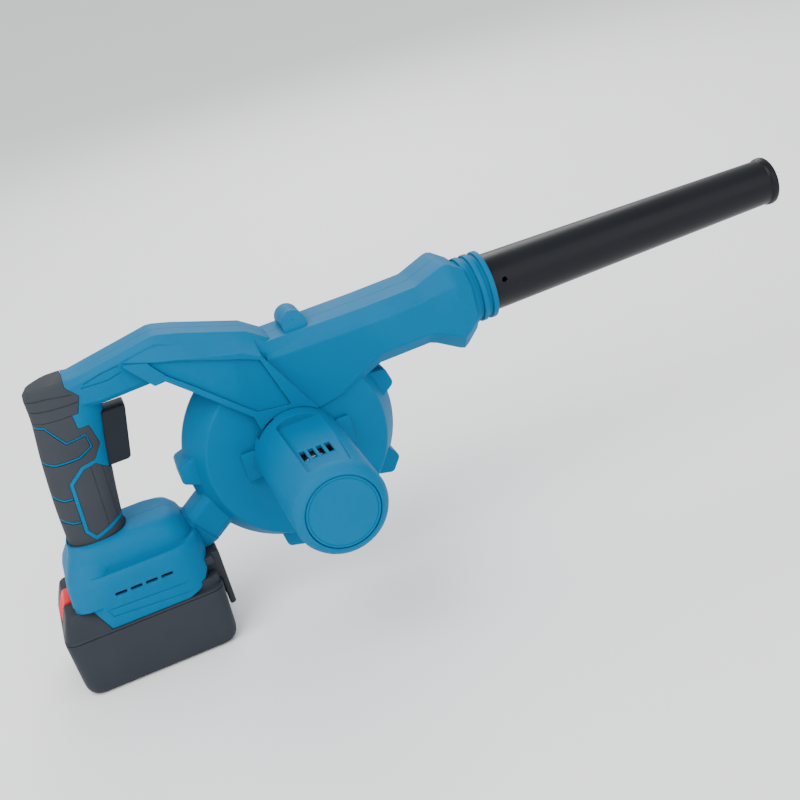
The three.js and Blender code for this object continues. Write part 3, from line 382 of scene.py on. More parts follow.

# %% [markdown]
# ## Materials
# One node group makes every moulded or machined surface: a fine grain, a slow mottle, uneven
# roughness, softened edges and a painted highlight that makes those edges paler. Each material sets its
# own amounts.

# %% The surface group
def surface_group():
    tree = bpy.data.node_groups.new("surface with painted edge highlight", "ShaderNodeTree")
    for name, kind in [
        ("Colour", "NodeSocketColor"), ("Roughness", "NodeSocketFloat"), ("Mottle", "NodeSocketFloat"),
        ("Grain Scale", "NodeSocketVector"), ("Grain Depth", "NodeSocketFloat"),
        ("Edge Radius", "NodeSocketFloat"), ("Edge Highlight", "NodeSocketFloat"),
    ]:
        tree.interface.new_socket(name, in_out="INPUT", socket_type=kind)
    for name, kind in [
        ("Colour", "NodeSocketColor"), ("Roughness", "NodeSocketFloat"), ("Normal", "NodeSocketVector"),
    ]:
        tree.interface.new_socket(name, in_out="OUTPUT", socket_type=kind)

    def node(kind, **settings):
        made = tree.nodes.new(kind)
        for name, value in settings.items():
            setattr(made, name, value)
        return made

    def wire(source, out, target, into):
        tree.links.new(source.outputs[out], target.inputs[into])

    inputs = node("NodeGroupInput")
    outputs = node("NodeGroupOutput")
    coords = node("ShaderNodeTexCoord")
    stretched = node("ShaderNodeVectorMath", operation="MULTIPLY")
    wire(coords, "Object", stretched, 0)
    wire(inputs, "Grain Scale", stretched, 1)
    grain = node("ShaderNodeTexNoise")
    grain.inputs["Scale"].default_value = 1
    grain.inputs["Detail"].default_value = 4
    grain.inputs["Roughness"].default_value = 0.62
    wire(stretched, 0, grain, "Vector")
    slow = node("ShaderNodeTexNoise")
    slow.inputs["Scale"].default_value = 26
    slow.inputs["Detail"].default_value = 5
    wire(coords, "Object", slow, "Vector")

    mottle = node("ShaderNodeMath", operation="MULTIPLY_ADD")
    centred = node("ShaderNodeMath", operation="SUBTRACT")
    centred.inputs[1].default_value = 0.5
    wire(slow, "Fac", centred, 0)
    wire(centred, 0, mottle, 0)
    wire(inputs, "Mottle", mottle, 1)
    mottle.inputs[2].default_value = 1
    shade = node("ShaderNodeVectorMath", operation="SCALE")
    wire(inputs, "Colour", shade, 0)
    wire(mottle, 0, shade, "Scale")

    soft_edge = node("ShaderNodeBevel", samples=6)
    wire(inputs, "Edge Radius", soft_edge, "Radius")
    geometry = node("ShaderNodeNewGeometry")
    facing = node("ShaderNodeVectorMath", operation="DOT_PRODUCT")
    wire(soft_edge, 0, facing, 0)
    wire(geometry, "Normal", facing, 1)
    edge = node("ShaderNodeMapRange")
    edge.inputs["From Min"].default_value = 0.995
    edge.inputs["From Max"].default_value = 0.86
    wire(facing, "Value", edge, "Value")
    # Painted highlight: the edge mask, made patchy by the slow noise and scaled by its amount, mixes a
    # paler colour into the edges.
    patchy = node("ShaderNodeMath", operation="MULTIPLY")
    wire(edge, 0, patchy, 0)
    wire(slow, "Fac", patchy, 1)
    amount = node("ShaderNodeMath", operation="MULTIPLY")
    wire(patchy, 0, amount, 0)
    wire(inputs, "Edge Highlight", amount, 1)
    highlighted_colour = node("ShaderNodeMix", data_type="RGBA")
    paler = node("ShaderNodeVectorMath", operation="MULTIPLY_ADD")
    paler.inputs[1].default_value = (1.5, 1.4, 1.35)
    paler.inputs[2].default_value = (0.03, 0.03, 0.03)
    wire(shade, 0, paler, 0)
    wire(amount, 0, highlighted_colour, 0)
    tree.links.new(shade.outputs[0], highlighted_colour.inputs[6])
    tree.links.new(paler.outputs[0], highlighted_colour.inputs[7])
    tree.links.new(highlighted_colour.outputs[2], outputs.inputs["Colour"])

    uneven = node("ShaderNodeMath", operation="MULTIPLY_ADD")
    uneven.inputs[1].default_value = 0.22
    wire(centred, 0, uneven, 0)
    wire(inputs, "Roughness", uneven, 2)
    speckled = node("ShaderNodeMath", operation="MULTIPLY_ADD", use_clamp=True)
    grain_centred = node("ShaderNodeMath", operation="SUBTRACT")
    grain_centred.inputs[1].default_value = 0.5
    speckled.inputs[1].default_value = 0.12
    wire(grain, "Fac", grain_centred, 0)
    wire(grain_centred, 0, speckled, 0)
    wire(uneven, 0, speckled, 2)
    wire(speckled, 0, outputs, "Roughness")

    bump = node("ShaderNodeBump")
    bump.inputs["Strength"].default_value = 1
    wire(inputs, "Grain Depth", bump, "Distance")
    wire(grain, "Fac", bump, "Height")
    wire(soft_edge, 0, bump, "Normal")
    wire(bump, 0, outputs, "Normal")
    return tree


SURFACE = surface_group()


# One amount sets how strongly the softened edges are painted paler, as a painted highlight.
def finish_of(name, colour, rough, grain=(2600, 2600, 2600), depth=0.00005, mottle=0.12,
              edge=0.0007, edge_highlight=0.35, metal=0.0, coat=0.0, specular=0.09):
    material, nodes, links, shader = procedural(name)
    surface = nodes.new("ShaderNodeGroup")
    surface.node_tree = SURFACE
    for socket, value in {
        "Colour": (*colour, 1), "Roughness": rough, "Mottle": mottle, "Grain Scale": grain,
        "Grain Depth": depth, "Edge Radius": edge, "Edge Highlight": edge_highlight,
    }.items():
        surface.inputs[socket].default_value = value
    for out, into in [("Colour", "Base Color"), ("Roughness", "Roughness"), ("Normal", "Normal")]:
        links.new(surface.outputs[out], shader.inputs[into])
    shader.inputs["Metallic"].default_value = metal
    shader.inputs["Coat Weight"].default_value = coat
    shader.inputs["Specular IOR Level"].default_value = specular
    return material


# %% One material for each slot of the record
FINE = (1500, 1500, 1500)
LOOKS = {
    "housing_plastic": finish_of("blue housing", (0.0, 0.126, 0.272), 0.56, FINE, 0.00006, 0.16),
    "nozzle_plastic": finish_of(
        "black nozzle", (0.006, 0.007, 0.010), 0.36, (60, 2400, 2400), 0.00003, 0.35, edge_highlight=0.2,
        specular=0.16),
    "grip_rubber": finish_of("grip rubber", (0.040, 0.045, 0.053), 0.74, FINE, 0.00012, 0.3, 0.0006),
    "pack_plastic": finish_of("pack plastic", (0.029, 0.034, 0.042), 0.5, FINE, 0.00008, 0.25, 0.0009),
    "button_plastic": finish_of("red button", (0.80, 0.02, 0.03), 0.36, FINE, 0.00003, 0.1, edge_highlight=0.15),
    "cell_shell": finish_of("cell sleeve", (0.03, 0.16, 0.46), 0.35, FINE, 0.00002, 0.1),
    "circuit_board": finish_of("circuit board", (0.01, 0.14, 0.05), 0.4, FINE, 0.00003, 0.2, 0.0002),
    "copper_parts": finish_of("copper", (0.55, 0.22, 0.09), 0.32, (200, 2500, 200), 0.00003, metal=1),
    "brass_parts": finish_of("brass", (0.62, 0.42, 0.13), 0.3, (200, 200, 2500), 0.00003, metal=1),
    "black_plastic": finish_of("dark trigger plastic", (0.016, 0.020, 0.026), 0.5, FINE, 0.00007, 0.2),
    "fan_plastic": finish_of("fan plastic", (0.018, 0.02, 0.023), 0.5, FINE, 0.00006, 0.2),
    "magnet_iron": finish_of("sintered iron", (0.06, 0.06, 0.065), 0.6, FINE, 0.0001, 0.3, metal=0.6),
    "red_wire": finish_of("red wire", (0.55, 0.02, 0.02), 0.45, FINE, 0.00002, 0.1, 0.0002),
    "black_wire": finish_of("black wire", (0.015, 0.015, 0.015), 0.45, FINE, 0.00002, 0.1, 0.0002),
    "steel_parts": finish_of(
        "plated steel", (0.45, 0.46, 0.47), 0.3, (2500, 200, 200), 0.00003, metal=1),
}
SLOT_OF = {part["node"]: part["material_slot"] for part in frame["record"]["subparts"]}
for node_name, cad_node in frame["nodes"].items():
    cad_node.data.materials.clear()
    cad_node.data.materials.append(LOOKS[SLOT_OF[node_name]])
print("materials:", len(LOOKS), "for", len(SLOT_OF), "CAD nodes")
BLUE = LOOKS["housing_plastic"]
RUBBER = LOOKS["grip_rubber"]

# %% [markdown]
# ## The fan housing, neck, handle and foot
# The housing is one closed solid: the drum, the neck that leaves it, the beam and side panels, the
# grip, the foot and the strut are joined, then the hollows and pockets are cut. The shapes that
# are hollow take an inset, so that the same function also gives the inside.

# %% Sizes, in millimetres
WALL = 2.5
RUBBER_THICK = 2
PANEL_FRAME = 1.7  # how far the side panel's frame stands above its field
HALF_GAP = 0.12  # from the middle plane to each half of the housing
DRUM = Vector((134.3, 0, 112.8))
DRUM_RIM, DRUM_FACE, DRUM_HALF = 73.5, 61.8, 24.6
INTAKE_RADIUS, COLLAR_TOP = 34, 30.6
NOZZLE_Z = 166.7
NOZZLE = (0, 0, NOZZLE_Z)
POD_RADIUS, POD_END = 30, -133.5
GRIP_HALF = 17


def octagon(x, low, high, half, cut_y, cut_z, soft=2.2, low_cut=None):
    inner = half - cut_y
    low_y, low_z = (low_cut, low_cut) if low_cut else (cut_y, cut_z)
    outline = [
        (half - low_y, low), (half, low + low_z), (half, high - cut_z), (inner, high),
        (-inner, high), (-half, high - cut_z), (-half, low + low_z), (low_y - half, low),
    ]
    return [(x, y, z) for y, z in rounded(outline, soft)]


def level_ring(z, rear, front, half, radius, steps=10):
    outline = [(rear, -half), (front, -half), (front, half), (rear, half)]
    return [(x, y, z) for x, y in rounded(outline, radius, steps)]


def oval(z, rear, front, half, sides=72):
    def squarer(value):
        return math.copysign(abs(value) ** 0.85, value)

    turns = [i / sides * math.tau for i in range(sides)]
    return [
        ((rear + front) / 2 + (front - rear) / 2 * squarer(math.cos(a)), half * squarer(math.sin(a)), z)
        for a in turns
    ]


def flowing(stations, steps=6):
    """Stations blended by a smooth curve through all of them."""
    result = []
    last = len(stations) - 1
    for i in range(last):
        ends = [stations[j] for j in (max(i - 1, 0), i, i + 1, min(i + 2, last))]
        for k in range(steps):
            t = k / steps
            result.append([
                0.5 * (2 * b + (c - a) * t + (2 * a - 5 * b + 4 * c - d) * t**2
                       + (3 * b - a - 3 * c + d) * t**3)
                for a, b, c, d in zip(*ends)
            ])
    return result + [list(stations[-1])]


# %% The outer shapes
def drum(inset=0):
    profile = [
        (0, -DRUM_HALF + inset), (DRUM_FACE - inset * 0.6, -DRUM_HALF + inset),
        (DRUM_RIM - inset, -1.5), (DRUM_RIM - inset, 1.5),
        (DRUM_FACE - inset * 0.6, DRUM_HALF - inset), (0, DRUM_HALF - inset),
    ]
    return turned("y", rounded(profile, 2.4, 4, closed=False), DRUM, 160)


def neck(inset=0):
    half = 27 - inset
    return loft([
        octagon(DRUM.x - 2, DRUM.z + 14, 187.2 - inset, DRUM_HALF + 0.4 - inset, 8.4, 9.3, low_cut=2),
        octagon(172, 134.2 + inset, 187.2 - inset, half - 0.6, 8.4, 9.3, low_cut=4),
        octagon(205, 146.2 + inset, 187.2 - inset, half, 8.4, 9.3),
        octagon(241, 147 + inset, 188.2 - inset, half, 8.4, 9.3),
    ])


def neck_collar():
    rings = flowing([(236, 146.9, 188, 27, 8.4, 9.3), (241, 147, 188.2, 27, 8.4, 9.3)], 2)
    rings += [(246, 145, 190, 27.4, 8.8, 9.8), (261, 135.8, 195.4, 30.4, 11.4, 12.4),
              (264, 134.8, 196, 30.9, 12, 13), (267, 136.6, 195, 30.2, 11.4, 12.4),
              (276, 144.8, 188.5, 27, 9, 10)]
    return loft([octagon(*ring, soft=2.6) for ring in rings])


def beam(inset=0):
    stations = [
        (-6 + inset, 188, 203, 14.5, 3, 3), (24, 184.5, 207.8, 16.5, 3, 3.4),
        (64, 186.2, 214.8, 17.3, 3.5, 4), (68, 186, 215.5, 17.5, 3.6, 4),
        (72, 183, 215.2, 17.8, 4, 4.6), (84, 172, 212, 19.5, 6, 7),
        (126, 150, 197.5, 22.5, 9, 10), (150, 150, 180, 22.5, 9, 10),
    ]
    return loft([
        octagon(x, low + inset, high - inset, half - inset, cut_y, cut_z, 1.6)
        for x, low, high, half, cut_y, cut_z in stations
    ])


PANEL = [
    (44, 206), (60, 186.5), (67, 187.5), (80, 176), (112.4, 146), (114.6, 133.5),
    (135, 128), (156, 132.5), (129, 183.5), (118, 190),
]


def panel_plan(side, inset):
    outline = [(36, 0), (164, 0), (164, side * (30.2 - inset)), (108, side * (30.2 - inset)),
               (36, side * (18.9 - inset))]
    return prism("z", outline, 90, 240)


def side_panel(side, inset=0):
    body = overlap(prism("y", rounded(grown(PANEL, -inset), 1.2, 2), -45, 45), panel_plan(side, inset))
    if not inset:
        field = [(58, 205), (69, 190.5), (83, 178.5), (115.5, 148.5), (138, 145.2), (127, 182),
                 (115, 187)]
        recess = prism("y", rounded(field, 1.5, 3), -45, 45)
        cut(body, cut(recess, panel_plan(side, PANEL_FRAME)))
    if side > 0:
        cut(body, rod("y", INTAKE_RADIUS + 14 + inset, 0, 60, DRUM))
    return body


SHOULDER = [
    (46, 206, 211.6, 17), (66, 201.3, 215.2, 23.6), (84, 197.4, 212, 26.4),
    (108, 192.2, 203.8, 30.2),
    (118, 190, 200.3, 30.2), (129, 183.5, 194, 30.2),
]


def shoulder(side):
    """The slope from a side panel's top up to the beam's flat top."""
    rings = []
    for x, panel_top, beam_top, panel_y in SHOULDER:
        corners = [(6, beam_top - 3), (13.4, beam_top - 0.3), (panel_y, panel_top), (12, panel_top - 8)]
        rings.append([(x, side * y, z) for y, z in corners])
    return loft(rings)


GRIP = flowing([
    (84, -27, 10.5, -0.5), (97, -27.2, 11.4, -0.5), (120, -26.6, 14.4, 0), (140, -25.2, 17.6, 0),
    (160, -23.2, 21.2, 0), (184, -20, 26.4, -0.5), (199, -19.6, 27.5, -1.5),
])


def grip(inset=0):
    rings = [
        oval(z, rear + inset, front - inset, GRIP_HALF + wider - inset) for z, rear, front, wider in GRIP
    ]
    top = [(202.5, -19.1, 26.4, 15.2), (205.4, -16.4, 22, 14), (206.8, -11, 15, 12)]
    for z, rear, front, half in top:
        rings.append(oval(z - inset, rear + inset, front - inset, half - inset))
    return loft(rings)


def foot(inset=0):
    low = [(43.5 - (1 if inset else 0), -38.5, 54, 36, 22), (66, -39, 55, 36, 24),
           (75, -37.6, 54.8, 35.6, 24), (78.6, -36.6, 54, 34.6, 24), (80, -35.4, 52.6, 33, 23)]
    high = [(70, -34, 51, 27.5, 20), (80, -33.4, 51, 27.4, 20), (83, -32.6, 50.4, 26.6, 20),
            (90, -30.8, 47.6, 24.8, 18), (95, -29, 43.4, 22, 16), (97.4, -27.4, 37.6, 18, 14)]
    parts = []
    for stations in (low, high):
        parts.append(loft([
            level_ring(
                z - (inset if i else 0), rear + inset, front - inset, half - inset, corner - inset)
            for i, (z, rear, front, half, corner) in enumerate(stations)
        ]))
    collar = [(74, -36, 24, 26), (80, -33.6, 20.5, 24), (85, -31.6, 17.2, 21.6),
              (91, -29.8, 14.2, 19.2), (96, -29, 12.8, 18.2), (97, -28.4, 12.3, 17.7)]
    parts.append(loft([
        oval(z, rear + inset, front - inset, half - inset) for z, rear, front, half in flowing(collar)
    ]))
    column = [(60, -39, -6, 36, 24), (74, -38, -7, 34.6, 23), (80, -36, -6, 31.6, 21),
              (86, -33, -4, 26.4, 18), (92, -30, 0, 21.2, 16), (97, -28.6, 6, 17.6, 14)]
    parts.append(loft([
        level_ring(z, rear + inset, front, half - inset, corner - inset)
        for z, rear, front, half, corner in column
    ]))
    whole = join(parts[0], *parts[1:])
    front_sweep = [(34, 43.4), (42.6, 46.4), (48, 51), (51.8, 56.8), (54, 63), (56, 64), (64, 64),
                   (64, 36), (34, 36)]
    cut(whole, prism("y", front_sweep, -60, 60))
    opening = [(-60, 59.8), (-27, 59.8), (-19.3, 43.5), (-19.3, 30), (-60, 30)]
    return cut(whole, prism("y", opening, -60, 60))


STRUT_LOW, STRUT_HIGH = Vector((46, 0, 66.5)), Vector((92, 0, 98.8))


def strut(inset=0, stretch=1.0, start=0.0):
    along = STRUT_HIGH - STRUT_LOW
    up = Vector((-along.z, 0, along.x)).normalized()
    height, width, corner = 14.5 - inset, 13 - inset, 5
    outline = [
        (height - corner, width), (height, width - corner), (height, corner - width),
        (height - corner, -width), (corner - height, -width), (-height, corner - width),
        (-height, width - corner), (corner - height, width),
    ]
    ends = [STRUT_LOW + along * start, STRUT_LOW + along * stretch]
    return loft([
        [tuple(end + up * rise + Vector((0, y, 0))) for rise, y in rounded(outline, 3)]
        for end in ends
    ])


BOSS_ANGLES = [176.7, -35, 14.8, -104.5]


def rim_boss(degrees):
    reach = 5.2 if degrees > 90 else 4.2
    outline = [(-18, -15), (reach - 1.6, -7), (reach, -5), (reach, 5), (reach - 1.6, 7), (-18, 15)]
    c, s = math.cos(math.radians(degrees)), math.sin(math.radians(degrees))
    soft = rounded(outline, 2.5 if degrees > 90 else 6, 5)
    return prism("y", [
        (DRUM.x + (DRUM_RIM + out) * c - across * s, DRUM.z + (DRUM_RIM + out) * s + across * c)
        for out, across in soft
    ], -13, 13, 1.5)


NECK_BOSS = (158, 0, 189.7)


def neck_boss():
    boss = rod("y", 8.3, -13, 13, NECK_BOSS, 64, 1)
    facet = prism("x", [(-14, 186), (-5.5, 199), (-30, 199), (-30, 186)], 140, 175)
    return cut(boss, facet)


outer = join(
    drum(), neck(), neck_collar(), beam(), side_panel(-1), side_panel(1), shoulder(-1), shoulder(1),
    grip(), foot(), strut(), neck_boss(),
    *[rim_boss(degrees) for degrees in BOSS_ANGLES])
print("outer shape:", len(outer.data.polygons), "faces")

# %% [markdown]
# ## Hollows, pockets and fine cuts
# The airway runs from the intake through the drum and neck to the outlet. The handle and foot are
# hollow too. The rails' channel, the trigger's mouth, the slots, the pod's seat and the screw holes
# go through into those hollows, so what shows through each opening is really inside.

# %% The cuts
MOUTH = (5.5, 60, -8.9, 8.9, 140.2, 177.6)  # the trigger's way in
HEAD_WAY, SCREW_WAY = 3.6, 1.8  # radii of a screw's holes
LINE_DEPTH = 0.4
SCREW_CIRCLE = DRUM_RIM + 1
SCREWS = [
    (DRUM.x + SCREW_CIRCLE * math.cos(angle), DRUM.z + SCREW_CIRCLE * math.sin(angle))
    for angle in (math.radians(degrees) for degrees in BOSS_ANGLES)
] + [(158, 190.7), (52, 205.6), (40, 87)]
PAD = [(-9, 140), (0.5, 147.8), (8.5, 148.6), (15, 141.5), (28, 141.5), (28, 107.5), (8, 106.5),
       (-7.5, 101.5), (-11, 106.5)]
WRAP = [(-40, 184.6), (5.6, 184.6), (6, 175), (13.2, 174.5), (15.5, 160), (8, 150.5), (8, 140),
        (34, 140), (34, 88), (-40, 88)]
CAP = [(-40, 184.9), (9.8, 184.9), (14, 195.3), (7.4, 203.2), (8.6, 230), (-40, 230)]
ACCENTS = [
    [(-34, 181.7), (-13.6, 181.8), (-3.7, 168.3), (9.2, 169.6), (9.9, 160.6), (0.5, 156.4),
     (-16, 155.9), (-34, 161)],
    [(-34, 137.4), (-18.6, 130.6), (-10, 131.4)],
    [(-34, 119.4), (-18.6, 113.9), (-9, 114.2)],
]


def zone(outline, extra=0.0):
    return prism("y", grown(outline, extra), -40, 40)


def skin(outside, inside):
    return cut(join(grip(outside), beam(outside)), join(grip(inside), beam(inside)))


def strip(line, width):
    """A band of even width along a line, seen from the side."""
    left, right = [], []
    for i, point in enumerate(line):
        ahead = Vector(line[min(i + 1, len(line) - 1)]) - Vector(line[max(i - 1, 0)])
        across = Vector((-ahead.y, ahead.x)).normalized() * width / 2
        left.append(tuple(Vector(point) + across))
        right.append(tuple(Vector(point) - across))
    return prism("y", left + right[::-1], -40, 40)


hollow = cut(
    join(beam(WALL), side_panel(-1, 1.8), side_panel(1, 1.8), grip(4.8), foot(WALL), strut(WALL)),
    drum(), neck())
airway = join(drum(WALL), neck(WALL), rod("x", 18, 239, 258, NOZZLE))
pack_way = join(
    block(-60, 80, -33.3, 33.3, 38.5, 50.4), block(-60, 80, -22.4, 22.4, 50, 57.4),
    block(-60, 80, -27.4, 27.4, 56, 62.4))
pockets = [
    overlap(
        skin(-1, 2.3), cut(zone(WRAP, 0.25), zone(PAD, 2.75)), block(-60, 60, -40, 40, 95.7, 230)),
    overlap(skin(-1, 2.3), zone(PAD, 0.25)),
    overlap(skin(-1, 2.3), zone(CAP, 0.25)),
]
sleeve_seat = join(rod("x", 22.3, 256, 290, NOZZLE), rod("x", 24.3, 257, 260.6, NOZZLE))
mouth = block(*MOUTH)
slots = row(shifted(block(0, 8, -8, 0, 0, 2.2, 0.8), (-10, -31, 64.9)), 4, (10.4, 0, 0))
groove_outline = [(-18.5, 57.4), (46, 55.4), (46, 46.9), (-16, 51.2)]
side_groove = cut(
    prism("y", groove_outline, -37, -35.65), prism("y", grown(groove_outline, -0.7), -38, -34))
cut(outer, airway, hollow, pack_way, *pockets, sleeve_seat, mouth, slots, side_groove,
    rod("y", 22, -37, -20, DRUM), rod("y", POD_RADIUS + 0.3, -60, -DRUM_HALF, DRUM),
    rod("y", INTAKE_RADIUS, 20, 60, DRUM), rod("y", 40.8, DRUM_HALF, 60, DRUM))
BEAM_LINES = [[(17, 199.4), (34, 198.8), (43, 201)], [(19, 201.4), (31, 204.4), (43, 205.6)]]
for line in BEAM_LINES:
    cut(outer, cut(strip(line, 0.6), beam(LINE_DEPTH), grip(LINE_DEPTH)))
cut(outer, cut(strut(-1, 0.27, 0.255), strut(0.45)))
for x, z in SCREWS:
    cut(outer, rod("y", HEAD_WAY, 8, 60, (x, 0, z), 32), rod("y", SCREW_WAY, -9.8, 9, (x, 0, z), 24))
join(outer, turned("y", [(33, 23.6), (36.5, 23.6), (36.5, COLLAR_TOP), (33, COLLAR_TOP)], DRUM))
for side in (-1, 1):
    y0, y1 = sorted((side * 22.4, side * 34.5))
    join(outer, block(-22.5, 38, y0, y1, 50.4, 56))
right_shell = overlap(copy_of(outer), block(-100, 400, -100, -HALF_GAP, -10, 300))
left_shell = overlap(outer, block(-100, 400, HALF_GAP, 100, -10, 300))
keep("right_housing_shell", right_shell, "housing", BLUE, ["right_housing"])
keep("left_housing_shell", left_shell, "housing", BLUE, ["left_housing"])

# %% [markdown]
# ## Grip rubber, accent lines and trigger
# The rubber is the outer two millimetres of the handle, cut to three zones seen from the side.
# Thin blue lines of the plastic below show in grooves through the rubber.

# %% Rubber
def accents(width):
    return join(*[strip(line, width) for line in ACCENTS])


wrap_zone = cut(zone(WRAP), zone(PAD, 3))
wrap = overlap(skin(0, RUBBER_THICK), wrap_zone, block(-60, 60, -40, 40, 96, 230))
cut(wrap, cut(accents(2.1), block(5.9, 60, -40, 40, 172, 230)))
keep("grip_wrap_rubber", wrap, "housing", RUBBER, ["grip_wrap"])
lines = overlap(
    skin(0.35, RUBBER_THICK), accents(1.2), cut(zone(WRAP, -0.4), zone(PAD, 3.2)),
    block(-60, 60, -40, 40, 96, 230))
keep("grip_accent_lines", lines, "housing", BLUE)
pad = overlap(skin(0, RUBBER_THICK), zone(PAD))
cut(pad, block(*MOUTH))
for x in (2, 9, 15):
    cut(pad, cut(strip([(x, 100), (x + 3, 150)], 0.5), grip(0.35)))
keep("grip_pad_rubber", pad, "housing", RUBBER, ["grip_front_pad"])
cap = overlap(skin(0, RUBBER_THICK), zone(CAP))
for line in ([(-30, 193), (-8, 192.4), (14, 191.6)], [(-30, 198.8), (-6, 200), (10, 197.5)]):
    cut(cap, cut(strip(line, 0.7), join(grip(0.45), beam(0.45))))
keep("grip_cap_rubber", cap, "housing", RUBBER, ["grip_top_cap"])

# %% Trigger
trigger_outline = [(13, 140.6), (29, 140.6), (30.8, 142), (38.8, 177.2), (13, 177.2)]
trigger = prism("y", rounded(trigger_outline, 1.8), -8.5, 8.5, 1.2)
cut(trigger, rod("x", 4.8, 12, 22, (0, 0, 159)))
keep("trigger_body", trigger, "trigger", LOOKS["black_plastic"], ["trigger"])

# %% [markdown]
# ## Battery pack
# A lower tub, an upper case with the deck, rails, hump and bumper, and the red release button.

# %% Battery cases
def pack_ring(z, end, side):
    return level_ring(z, -52 + end, 57.5 - end, 37.5 - side, 11 - side)


lower = cut(
    loft([pack_ring(*level) for level in [
        (0, 7.4, 4), (0.5, 6, 2.9), (1.4, 4.5, 1.9), (2.6, 3.2, 1.2), (4.6, 2.2, 0.6),
        (8, 1.4, 0.2), (40.7, 0, 0), (41.3, 0.3, 0.3), (41.5, 0.9, 0.9)]]),
    loft([pack_ring(2, 7, 4), pack_ring(8, 3.4, 2.4), pack_ring(42.5, 2, 2)]))
keep("battery_tub", lower, "battery", LOOKS["pack_plastic"], ["battery_lower_case"])

hump = loft([
    level_ring(43, -51.4, 5, 36.5, 11), level_ring(46, -50.6, 5, 35.6, 10.4),
    level_ring(50, -49, 5, 34.4, 9), level_ring(58.4, -45.5, 5, 30.5, 6.4),
    level_ring(59.3, -44.7, 4, 29.6, 6), level_ring(59.5, -44, 3, 28.8, 5.4)])
overlap(hump, prism("y", [(-60, 59.4), (-27.4, 59.4), (-19.9, 43.6), (-19.9, 30), (-60, 30)], -60, 60))
bumper_side = [(53.5, 42.2), (57.8, 42.2), (57.8, 19), (62, 20), (62, 60), (60.5, 62), (53.5, 62)]
bumper = prism("y", rounded(bumper_side, 1.6, 3), -22, 22, 1.1)
cut(bumper, *[block(60.9, 70, y - 0.6, y + 0.6, 24, 70) for y in (-14, 14)])
deck = join(
    loft([
        pack_ring(41.8, 0.4, 0.4), pack_ring(42.2, 0.1, 0.1), pack_ring(43, 0.5, 0.5),
        pack_ring(43.2, 1, 1)]),
    loft([
        level_ring(43, -48, 56.5, 32.9, 10), level_ring(49.5, -46.2, 56, 32.9, 10),
        level_ring(50, -45.6, 55.5, 32.3, 9.4)]),
    block(-28, 56.5, -22, 22, 49, 57.4), block(-28, 56.5, -27, 27, 56.4, 62, 0.6), hump, bumper)
cut(deck,
    loft([level_ring(40.8, -40, 49.5, 30.9, 8), level_ring(47, -40, 49.5, 30.9, 8)]),
    block(14, 67.5, 10.5, 13.5, 46.5, 63), block(14, 67.5, -13.5, -10.5, 46.5, 63),
    block(-57, -39, -10.4, 10.4, 44.6, 67.5))
keep("battery_top", deck, "battery", LOOKS["pack_plastic"], ["battery_upper_case"])

button_side = [(-50.2, 48.2), (-45.2, 59), (-43.6, 61), (-39.4, 61), (-39.4, 48.2)]
button = prism("y", rounded(button_side, 1.3, 3), -10, 10, 0.9)
ridge = rod("y", 0.7, -7, 7, (-49, 0, 50.6), 24, 0.3)
join(button, row(ridge, 4, (1.15, 0, 2.4)))
cut(button, rod("z", 3.4, 47, 53.7, (-44.2, 0, 0)))
keep("battery_release", button, "button", LOOKS["button_plastic"], ["battery_button"])

# %% [markdown]
# ## Motor pod
# The pod is turned round the fan's axis. Its top has a flat recess with four slots that end in
# sloping grooves, and its side has a row of slots.

# %% Pod and end cap
RECESS_X, RECESS_Z = 136.5, 137.2


def recess_plan(grow):
    return [(RECESS_X - 15 - grow, -42 + grow), (RECESS_X - 14 - grow, -125.5 - grow),
            (RECESS_X + 13 + grow, -125.5 - grow), (RECESS_X + 17 + grow, -42 + grow)]


pod_profile = [
    (27.5, -24.9), (POD_RADIUS, -24.9), (POD_RADIUS, -126.5), (28.9, -129.6), (27, -132),
    (25.2, -133.1), (24.4, POD_END), (23.7, POD_END), (23.7, -131), (21.4, -131), (21.4, -129),
    (24.4, -127), (27.5, -123.5)]
pod = turned("y", pod_profile, DRUM, 128)
recess_outline = rounded(recess_plan(0), 5)
cut(pod, prism("z", recess_outline, RECESS_Z, 160))
pocket = cut(
    prism("z", rounded(recess_plan(1.6), 6), RECESS_Z - 2, RECESS_Z + 8),
    prism("z", recess_outline, RECESS_Z, 160))
join(pod, overlap(pocket, rod("y", 29, -129, -30, DRUM)))
slot_side = [(-102, 137.3), (-93.5, 134.5), (-86, 134.5), (-86, 139), (-102, 139)]
slot = shifted(prism("x", slot_side, -1.7, 1.7), (RECESS_X - 9.4, 0, 0))
cut(pod, row(slot, 4, (5.5, 0, 0)))
cut(pod, row(block(90, DRUM.x - 21, -109.5, -104.5, 95.8, 107.8, 1), 4, (0, 11, 0)))
for x0, x1 in ((DRUM.x - 38, DRUM.x - 28.5), (DRUM.x + 28.5, DRUM.x + 38)):
    join(pod, block(x0, x1, -27.9, -24.9, DRUM.z - 10, DRUM.z + 10, 0.8))
cut(pod, block(DRUM.x - 24, DRUM.x - 10, -31.9, -23.9, DRUM.z + 10, DRUM.z + 28))
keep("motor_pod_shell", pod, "housing", BLUE, ["motor_pod"])
cap_profile = [
    (0, POD_END), (21.2, POD_END), (21.5, -133.1), (21.8, POD_END), (22.8, -133.4), (23.4, -132.7),
    (23.4, -131.3), (0, -131.3)]
keep("pod_cap", turned("y", cap_profile, DRUM, 128), "housing", BLUE, ["pod_end_cap"])

# %% [markdown]
# ## Intake cover
# Three rings of curved slots leave bars and rings between them. Each ring is one slot and its row,
# and so are the small grooves round the rim.

